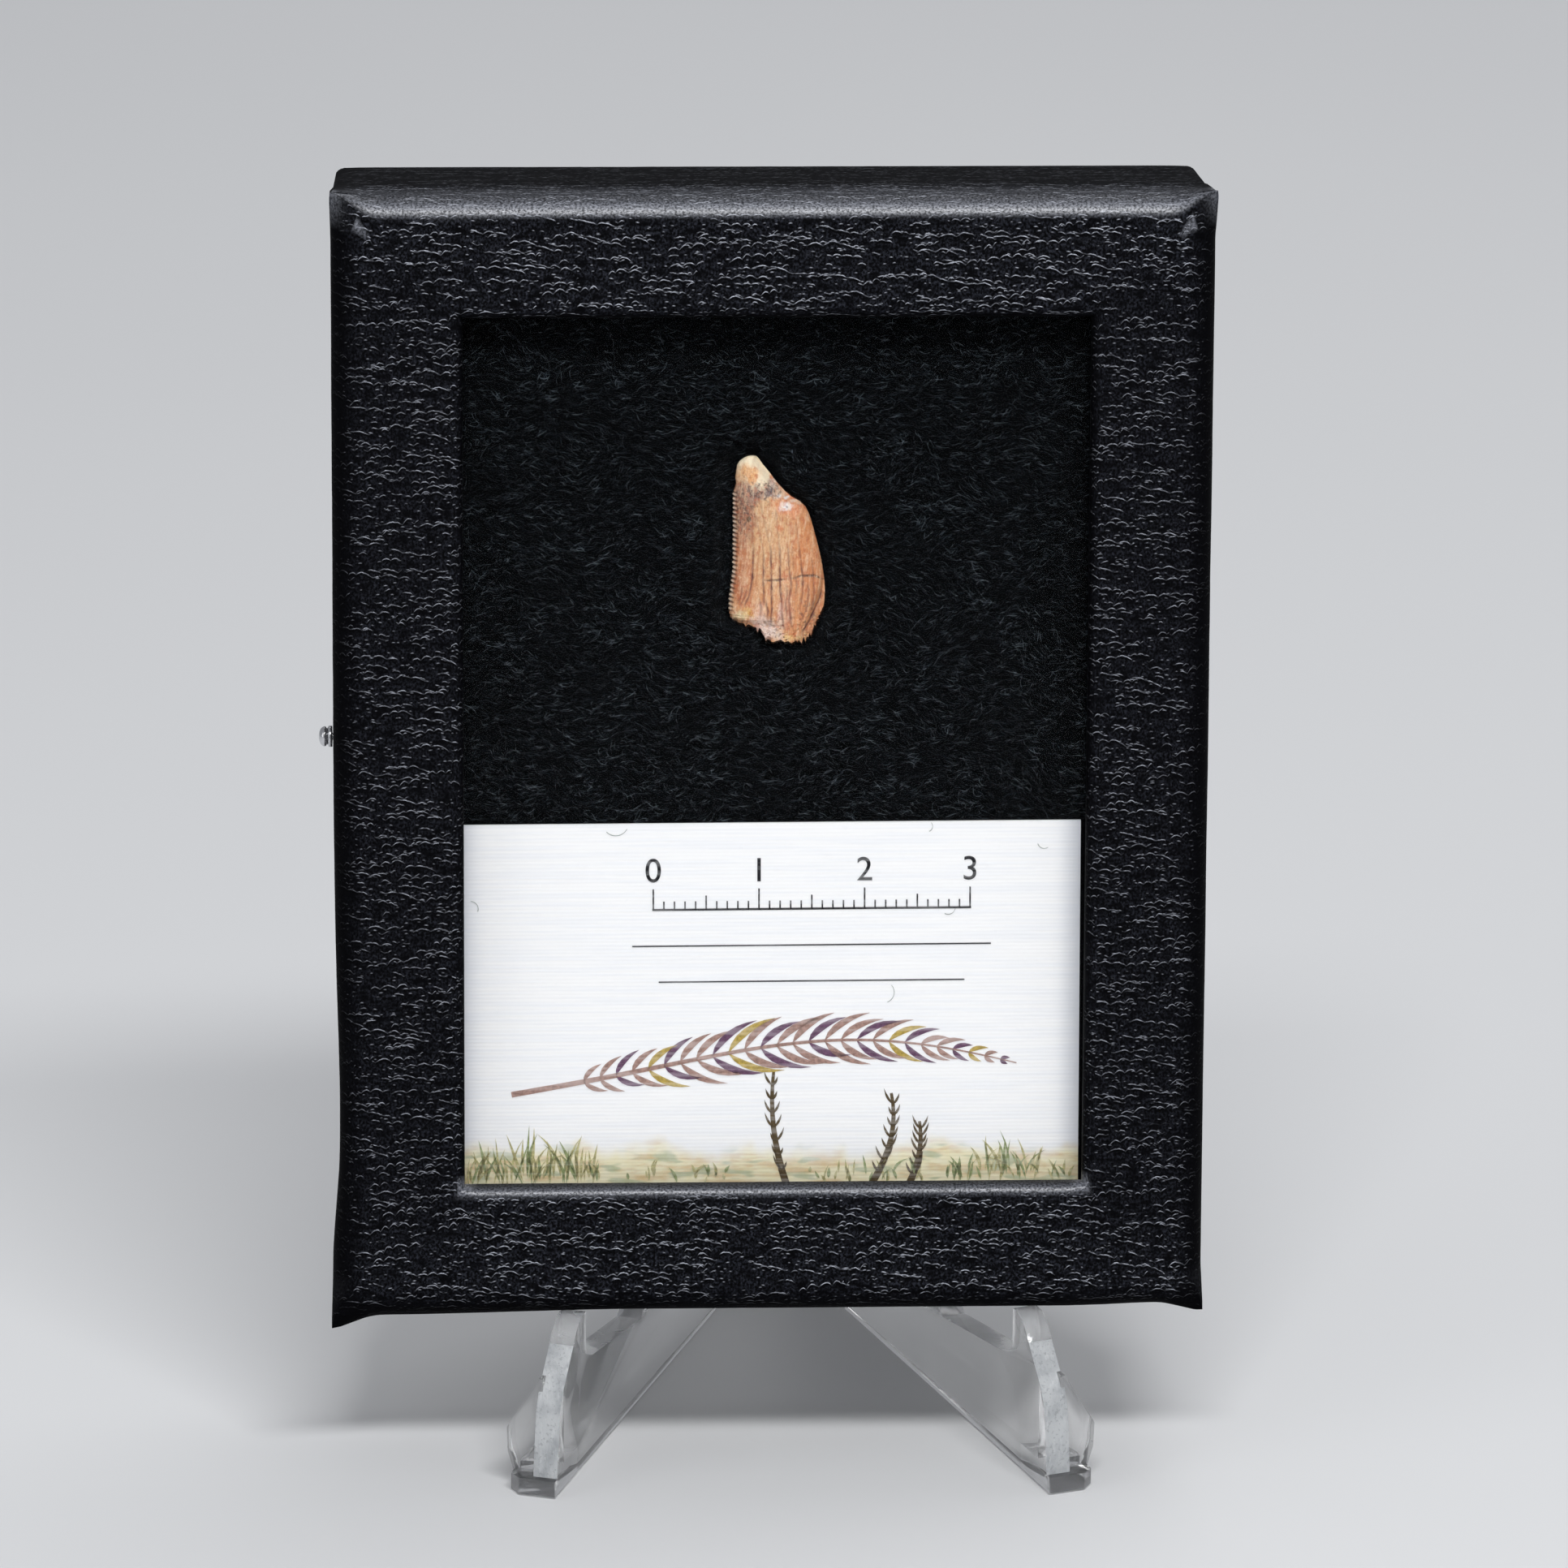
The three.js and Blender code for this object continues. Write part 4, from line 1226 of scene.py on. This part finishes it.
def make_card():
    rows_to_a_rib = 4
    paper = fresh(
        "laid_card", bpy.ops.mesh.primitive_grid_add,
        x_subdivisions=30, y_subdivisions=round(CARD_H / RIB * rows_to_a_rib), size=2,
        rotation=(math.pi / 2, 0, 0), scale=(CARD_W / 2, CARD_H / 2, 1),
    )
    for v in paper.data.vertices:
        rib = math.sin(2 * math.pi * v.co.z / RIB) * RIB_HIGH
        v.co.y = rib + 0.02 + 0.012 * waves(v.co.x / 14, v.co.z / 14, 2)
    give_back(paper, CARD_T, CARD_T - 0.05)
    return paper


def onto_card(piece):
    """Places a piece that was made round the card's middle, its face at n 0."""
    turned = Matrix.Rotation(-CARD_TURN, 4, "Y")
    piece.matrix_world = Matrix.Translation((CARD_X, CARD_N, CARD_MID)) @ turned @ piece.matrix_world
    into_case(piece)


def laid_paper():
    """White laid paper with painted shadow down both sides, and a wash of yellow and green ground along its
    foot.
    """
    finish = Finish("laid_paper", Specular_IOR_Level=0.25)
    where = finish.place()
    flat = finish.mapped(where, Scale=(1000, 1000, 1000), Rotation=(LEAN, 0, 0))
    pulp = finish.grain(flat, 1.1, 4.0, 0.6)
    laid = finish.drawn_grain(flat, (0.09, 0.09, 2.3), 2.0)
    up = finish.node("SeparateXYZ", {}, where, out="Z") * 1000
    edge = finish.drawn_grain(flat, (0.16, 0.16, 0.1), 3.0)
    wash = (up - edge * 5.2).fall(26.4, 28.6)
    side = (finish.node("SeparateXYZ", {}, where, out="X") * 1000 - 0.65).size()
    tint = finish.coats(
        colour(255, 255, 255),
        (laid.rise(0.4, 0.62) * 0.55, (246, 248, 252)),
        (pulp.rise(0.62, 0.75) * 0.1, (206, 210, 220)),
        # painted shadow down both sides, where the window's lips shade the card
        (side.rise(26.6, 29.4) * 0.5, (214, 219, 230)),
    )
    pool = finish.drawn_grain(flat, (0.3, 0.3, 1.5), 3.0)
    damp = finish.drawn_grain(flat, (0.2, 0.2, 0.75), 2.0, Location=(7, 0, 0))
    ground = finish.coats(
        colour(246, 236, 186),
        (pool.rise(0.4, 0.66), (220, 186, 112)),
        (damp.rise(0.54, 0.62) * 0.85, (168, 178, 122)),
    )
    tint = finish.blend(wash * (0.55 + pulp * 0.4), tint, ground)
    height = pulp * 0.4 + laid
    finish.set(Base_Color=tint, Roughness=0.8 + pulp * 0.15, Normal=finish.bump(height, 0.00002))
    return finish.material


laid_card = make_card()
laid_card.data.materials.append(laid_paper())
onto_card(laid_card)
smooth_edges(laid_card, 50)
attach(laid_card, "root")
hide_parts("label_card")

# ---- Card print ----
# Flat ink on the card: a plain centimetre rule with its numbers and two lines to write on, and
# below them a fallen frond, stems and grass. A few hairs of lint lie on it. All are outlines a few
# hundredths thick.
INK_T, INK_SUNK = 0.02, 0.012
RULE_LEFT, RULE_S = -11.0, 38.4
GROUND_S = 12.0


class Outlines:
    """Closed outlines in one ink, which become one thin flat mesh."""

    def __init__(self):
        self.points, self.faces = [], []

    def add(self, outline):
        start, count = len(self.points), len(outline)
        for n in (-INK_T, INK_SUNK):
            self.points += [(x - CARD_X, n, s - CARD_MID) for x, s in outline]
        self.faces.append(tuple(start + i for i in range(count)))
        self.faces.append(tuple(start + count + i for i in reversed(range(count))))
        for i in range(count):
            j = (i + 1) % count
            self.faces.append((start + i, start + count + i, start + count + j, start + j))

    def bar(self, x0, x1, s0, s1):
        self.add([(x0, s0), (x1, s0), (x1, s1), (x0, s1)])

    def leaf(self, x, s, heading, long, wide, bend=0.0):
        """A pointed leaf from its foot, bent to one side."""
        spine, sides = 7, []
        for side in (1, -1):
            row = []
            for k in range(spine):
                t = k / (spine - 1)
                ahead, aside = math.cos(heading + bend * t), math.sin(heading + bend * t)
                half = side * wide / 2 * math.sin(math.pi * t**0.8)
                row.append((x + ahead * long * t - aside * half, s + aside * long * t + ahead * half))
            sides.append(row)
        self.add(sides[1] + sides[0][-2:0:-1])

    def line(self, path, wide, taper=0.3):
        """A drawn stroke along a path, thinner at its end."""
        left, right = [], []
        for k, (x, s) in enumerate(path):
            nx, ns = across_path(path, k)
            half = wide / 2 * (1 - (1 - taper) * k / (len(path) - 1))
            left.append((x + nx * half, s + ns * half))
            right.append((x - nx * half, s - ns * half))
        self.add(right + left[::-1])


def printed(name, inks):
    """Joins the outlines of each ink into one piece, one material for each ink."""
    points, faces, slots = [], [], []
    for slot, outlines in enumerate(inks.values()):
        faces += [tuple(i + len(points) for i in face) for face in outlines.faces]
        slots += [slot] * len(outlines.faces)
        points += outlines.points
    piece = from_outlines(name, points, faces)
    for slot, tint in enumerate(inks):
        piece.data.materials.append(ink(f"{name}_ink_{slot}", tint))
    piece.data.polygons.foreach_set("material_index", slots)
    return piece


def ink(name, tint):
    """Ink that has sunk unevenly into the paper's ribs."""
    finish = Finish(name, Specular_IOR_Level=0.2)
    where = finish.place()
    flat = finish.mapped(where, Scale=(1000, 1000, 1000), Rotation=(LEAN, 0, 0))
    laid = finish.drawn_grain(flat, (0.09, 0.09, 2.3), 2.0)
    dabs = finish.grain(flat, 2.6, 3.0, 0.7)
    pale = [c + (0.85 - c) * 0.32 for c in colour(*tint)[:3]]
    dark = [c * 0.55 for c in colour(*tint)[:3]]
    shade = finish.blend(dabs.rise(0.35, 0.7), (*dark, 1.0), colour(*tint))
    shade = finish.blend(laid.rise(0.45, 0.65) * 0.6, shade, (*pale, 1.0))
    finish.set(Base_Color=shade, Roughness=0.8 + dabs * 0.15, Normal=finish.bump(laid, 0.00002))
    return finish.material


def print_rule():
    grey = Outlines()
    grey.bar(RULE_LEFT - 0.1, RULE_LEFT + 30.1, RULE_S, RULE_S + 0.2)
    for mm in range(31):
        high = 2.1 if mm % 10 == 0 else 1.45 if mm % 5 == 0 else 0.9
        grey.bar(RULE_LEFT + mm - 0.07, RULE_LEFT + mm + 0.07, RULE_S + 0.2, RULE_S + high)
    for s, half in ((34.9, 17.0), (31.4, 14.5)):
        grey.bar(RULE_LEFT + 15 - half, RULE_LEFT + 15 + half, s, s + 0.13)
    rule = printed("card_rule", {(38, 38, 42): grey})
    pieces = [rule]
    for number in range(4):
        bpy.ops.object.select_all(action="DESELECT")
        bpy.ops.object.text_add(rotation=(math.pi / 2, 0, 0))
        text = bpy.context.object
        text.data.body, text.data.size = str(number), 3.3
        text.data.align_x = "CENTER"
        text.data.extrude = INK_T / 2
        text.location = RULE_LEFT + number * 10 - CARD_X, -INK_T / 2, RULE_S + 2.8 - CARD_MID
        bpy.ops.object.convert(target="MESH")
        bpy.ops.object.transform_apply(location=True, rotation=True, scale=True)
        text.data.materials.clear()
        text.data.materials.append(rule.data.materials[0])
        pieces.append(text)
    bpy.ops.object.select_all(action="DESELECT")
    for piece in pieces:
        piece.select_set(True)
    bpy.context.view_layer.objects.active = rule
    bpy.ops.object.join()
    return rule


def print_plants():
    draw = random.Random(5)
    pink, plum, gold, olive, straw, moss, lint = [Outlines() for _ in range(7)]
    # the fallen frond: a bare foot, slim leaflets that stand apart, and a fine end
    stem = [
        (-24.5 + 48.0 * t, 20.6 + 4.6 * math.sin(2.5 * t) - 0.5 * math.sin(6.5 * t))
        for t in np.linspace(0, 1, 64)
    ]
    pink.line(stem, 0.55, 0.2)
    for k in range(9, 63, 2):
        x, s = stem[k]
        t = (k - 9) / 54
        full = (5.6 * math.sin(math.pi * (0.1 + 0.9 * t)) ** 0.9) * (1 - 0.3 * t) + 0.35
        along = math.atan2(stem[k][1] - stem[k - 1][1], stem[k][0] - stem[k - 1][0])
        for side in (1, -1):
            heading = along + side * (1.05 - 0.25 * t) + draw.uniform(-0.08, 0.08)
            which = plum if k % 3 == 1 else gold if k % 5 == 2 else pink
            which.leaf(x, s, heading, full * draw.uniform(0.85, 1.1), 0.32 + 0.07 * full, -side * 0.45)
    # three jointed stalks
    root = GROUND_S - 0.4
    for foot, top, lean in ((1.6, 22.6, -1.2), (9.8, 20.4, 1.8), (13.4, 17.6, 0.9)):
        path = [
            (foot + lean * (1 - t) * t * 2 + lean * t, root + (top - root) * t)
            for t in np.linspace(0, 1, 9)
        ]
        olive.line(path, 0.7, 0.4)
        for x, s in path[1:-1]:
            for side in (1, -1):
                olive.leaf(x, s, math.pi / 2 - side * 0.8, draw.uniform(0.9, 1.8), 0.24, side * 0.3)
    # grass along the ground
    for low, high, count, tall in (
        (-29, -16, 70, 4.6), (-15, -4, 18, 1.8), (3, 15, 26, 2.0), (17, 29, 46, 3.4)
    ):
        for _ in range(count):
            x = draw.uniform(low, high)
            middle = 1 - abs(x - (low + high) / 2) / (high - low)
            which = straw if draw.random() < 0.6 else moss
            which.leaf(
                x, GROUND_S + draw.uniform(-0.4, 0.8), math.pi / 2 + draw.gauss(0, 0.22),
                tall * middle * draw.uniform(0.5, 1.3), draw.uniform(0.16, 0.34), draw.gauss(0, 0.3),
            )
    # a few hairs of lint that lie on the card
    for x, s, turn, long in (
        (-15.4, 46.1, -0.7, 2.3), (15.1, 45.9, 0.5, 1.0), (25.4, 44.6, -1.2, 1.2),
        (16.6, 37.9, -0.4, 1.3), (11.2, 29.3, 0.5, 2.0), (-27.6, 38.5, 1.3, 1.4),
    ):
        path = [(x, s)]
        for k in range(9):
            x += long / 9 * math.cos(turn + 1.7 * k / 8)
            s += long / 9 * math.sin(turn + 1.7 * k / 8)
            path.append((x, s))
        lint.line(path, 0.07, 0.6)
    return printed(
        "card_plants",
        {
            (186, 150, 138): pink,
            (122, 88, 116): plum,
            (206, 178, 92): gold,
            (104, 88, 62): olive,
            (214, 206, 150): straw,
            (170, 182, 128): moss,
            (176, 184, 178): lint,
        },
    )


for piece in (print_rule(), print_plants()):
    onto_card(piece)
    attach(piece, "root")

# ---- Pin ----
# A domed steel pin with a collar, pushed in through the left side to hold the lid to the tray.
PIN_HEAD_X = -41.25
# [radius, how far in from the top of the dome]
PIN_TURNED = (
    (0.3, 0.02), (0.5, 0.06), (0.66, 0.13), (0.8, 0.24), (0.9, 0.38), (0.95, 0.52), (0.94, 0.62),
    (0.88, 0.69), (0.8, 0.72), (0.78, 0.78), (0.82, 0.84), (0.92, 0.88), (0.99, 0.94), (1.01, 1.02),
    (1.01, 1.2), (0.97, 1.28), (0.35, 1.3), (0.35, 6.4), (0.28, 6.8), (0.1, 7.5),
)


def make_pin():
    r, deep = PIN_TURNED[0]
    pin = fresh(
        "lid_pin_turned", bpy.ops.mesh.primitive_circle_add, vertices=40, radius=r,
        fill_type="TRIFAN", rotation=(0, math.pi / 2, 0), location=(deep, 0, 0),
    )
    edit(pin)
    for (r0, d0), (r1, d1) in zip(PIN_TURNED, PIN_TURNED[1:]):
        choose(pin, "EDGE", lambda e: e.is_boundary and abs(e.verts[0].co.x - d0) < 1e-4)
        pull(x=d1 - d0)
        bpy.ops.transform.resize(value=(1, r1 / r0, r1 / r0), center_override=(d1, 0, 0))
    bpy.ops.mesh.edge_face_add()
    done_outwards()
    # the dome's middle point, which the circle left level with its rim
    for v in pin.data.vertices:
        if v.co.x < 0.03 and math.hypot(v.co.y, v.co.z) < 0.01:
            v.co.x = 0.0
    finished(pin, Vector((PIN_HEAD_X - 1.3, PIN_N, PIN_S)))
    return pin


def pin_steel():
    finish = Finish("pin_steel", Metallic=1.0)
    where = finish.place()
    turned = finish.drawn_grain(where, (9000, 300, 300), 3.0)
    spots = finish.grain(where, 2600, 3.0)
    tint = finish.coats(colour(206, 207, 210), (spots.rise(0.5, 0.75) * 0.5, (150, 146, 142)))
    finish.set(Base_Color=tint, Roughness=0.16 + turned * 0.18, Normal=finish.bump(turned, 0.000008))
    return finish.material


lid_pin = make_pin()
lid_pin.data.materials.append(pin_steel())
into_case(lid_pin)
smooth_edges(lid_pin, 50)
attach(lid_pin, "root")
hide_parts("lid_pin")

# ---- Easel ----
# Two plates sawn from clear acrylic and hinged at the back on a knuckled peg. Their sawn front
# edges are left frosted, and the rest is polished.
TOE_IN = math.radians(19.44)
EASEL_X, EASEL_Y = 3.5488, -34.5695
FOOT_HALF = 23.5
# the frosted edge's lowest and highest place, and how far out of the plate it reaches
FROST_LOW, FROST_HIGH, FROST_OUT = 1.65, 13.4, 2.35


def along_plate(at, side):
    """(u, w, v) in millimetres along, out of and up a plate, for a place in the row's frame."""
    x, y = (at.x / MM - EASEL_X) * side - FOOT_HALF, at.y / MM - EASEL_Y
    return (
        y * math.cos(TOE_IN) - x * math.sin(TOE_IN),
        y * math.sin(TOE_IN) + x * math.cos(TOE_IN),
        at.z / MM,
    )


def clear_acrylic():
    finish = Finish("clear_acrylic", Transmission_Weight=1.0, IOR=1.49, Alpha=0.9)
    where = finish.place()
    haze = finish.grain(where, 90, 3.0)
    hairlines = finish.drawn_grain(where, (300, 300, 3000), 2.0, Rotation=(0.5, 0.3, 0))
    finish.set(
        Base_Color=finish.coats(colour(254, 254, 254), (haze.rise(0.5, 0.8) * 0.5, (244, 245, 246))),
        Roughness=0.01 + haze.rise(0.45, 0.8) * 0.03,
        Normal=finish.bump(hairlines * 0.1 + haze, 0.00001),
    )
    return finish.material


def sawn_acrylic():
    """The plates' edges, sawn and then flame polished, which are still a little hazy."""
    finish = Finish("sawn_acrylic", Transmission_Weight=0.8, IOR=1.49, Alpha=0.9)
    where = finish.place()
    chatter = finish.drawn_grain(where, (500, 500, 1300), 3.0)
    cloud = finish.grain(where, 260, 3.0)
    finish.set(
        Base_Color=finish.coats(colour(250, 251, 252), (cloud.rise(0.4, 0.7), (226, 229, 232))),
        Roughness=0.06 + cloud.rise(0.4, 0.75) * 0.3,
        Normal=finish.bump(chatter, 0.00004),
    )
    return finish.material


def frosted_acrylic():
    finish = Finish("frosted_acrylic", Transmission_Weight=0.35, IOR=1.49, Specular_IOR_Level=0.5)
    where = finish.place()
    sawn = finish.drawn_grain(where, (2600, 900, 700), 4.0, 0.7)
    cloud = finish.grain(where, 420, 3.0)
    speck = finish.grain(where, 3200, 2.0)
    tint = finish.coats(
        colour(214, 217, 219),
        (cloud.rise(0.36, 0.7), (176, 180, 184)),
        (sawn.rise(0.5, 0.72) * 0.5, (240, 242, 243)),
        (speck.rise(0.56, 0.68) * 0.5, (146, 150, 154)),
    )
    finish.set(Base_Color=tint, Roughness=0.45 + sawn * 0.3, Normal=finish.bump(sawn, 0.0001))
    return finish.material


acrylics = clear_acrylic(), frosted_acrylic(), sawn_acrylic()
for side, node in ((-1, "easel_left"), (1, "easel_right")):
    plate = traced(node, node + "_plate")
    soften(plate, 0.3, 32)
    for material in acrylics:
        plate.data.materials.append(material)
    for face in plate.data.polygons:
        u, w, v = along_plate(face.center, side)
        beyond = along_plate(face.center + face.normal * MM, side)
        facing, flank = beyond[0] - u, abs(beyond[1] - w)
        if facing < -0.6 and u < 6 and FROST_LOW < v < FROST_HIGH and w < FROST_OUT:
            face.material_index = 1
        elif flank < 0.3 and u > 5 and v > 2:
            face.material_index = 2
    smooth_edges(plate, 40)
    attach(plate, "root")
    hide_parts(node)

# ---- Floor and light ----
# A plain pale floor, a long soft light above and in front, and weaker ones at the left and behind.


def lay_floor():
    floor = fresh("floor", bpy.ops.mesh.primitive_plane_add, size=8, location=(0, 0, -0.0002))
    finish = Finish("floor_paper", Specular_IOR_Level=0.2, Roughness=0.9)
    cloud = finish.grain(finish.place(), 3.0, 2.0)
    finish.set(Base_Color=finish.blend(cloud, colour(214, 215, 217), colour(220, 221, 222)))
    floor.data.materials.append(finish.material)


def hang_light(name, at, aim, size, power):
    lamp = bpy.data.lights.new(name, "AREA")
    lamp.shape, lamp.size, lamp.size_y, lamp.energy = "RECTANGLE", *size, power
    piece = into_scene(name, lamp)
    piece.location = at
    piece.rotation_euler = (Vector(aim) - Vector(at)).to_track_quat("-Z", "Y").to_euler()


lay_floor()
hang_light("light_front", (0.1, -0.56, 0.8), (0, 0, 0.07), (0.6, 0.14), 6.2)
hang_light("light_left", (-0.9, -0.5, 0.45), (0, 0, 0.06), (0.5, 0.7), 1.4)
hang_light("light_back", (0.3, 0.5, 0.9), (0, 0.25, 0.0), (0.9, 0.5), 2.6)
world = bpy.data.worlds.new("studio")
world.use_nodes = True
sky = world.node_tree.nodes["Background"].inputs
sky["Color"].default_value = (0.93, 0.95, 1.0, 1.0)
sky["Strength"].default_value = 0.34
bpy.context.scene.world = world
bpy.context.scene.view_settings.view_transform = "Standard"
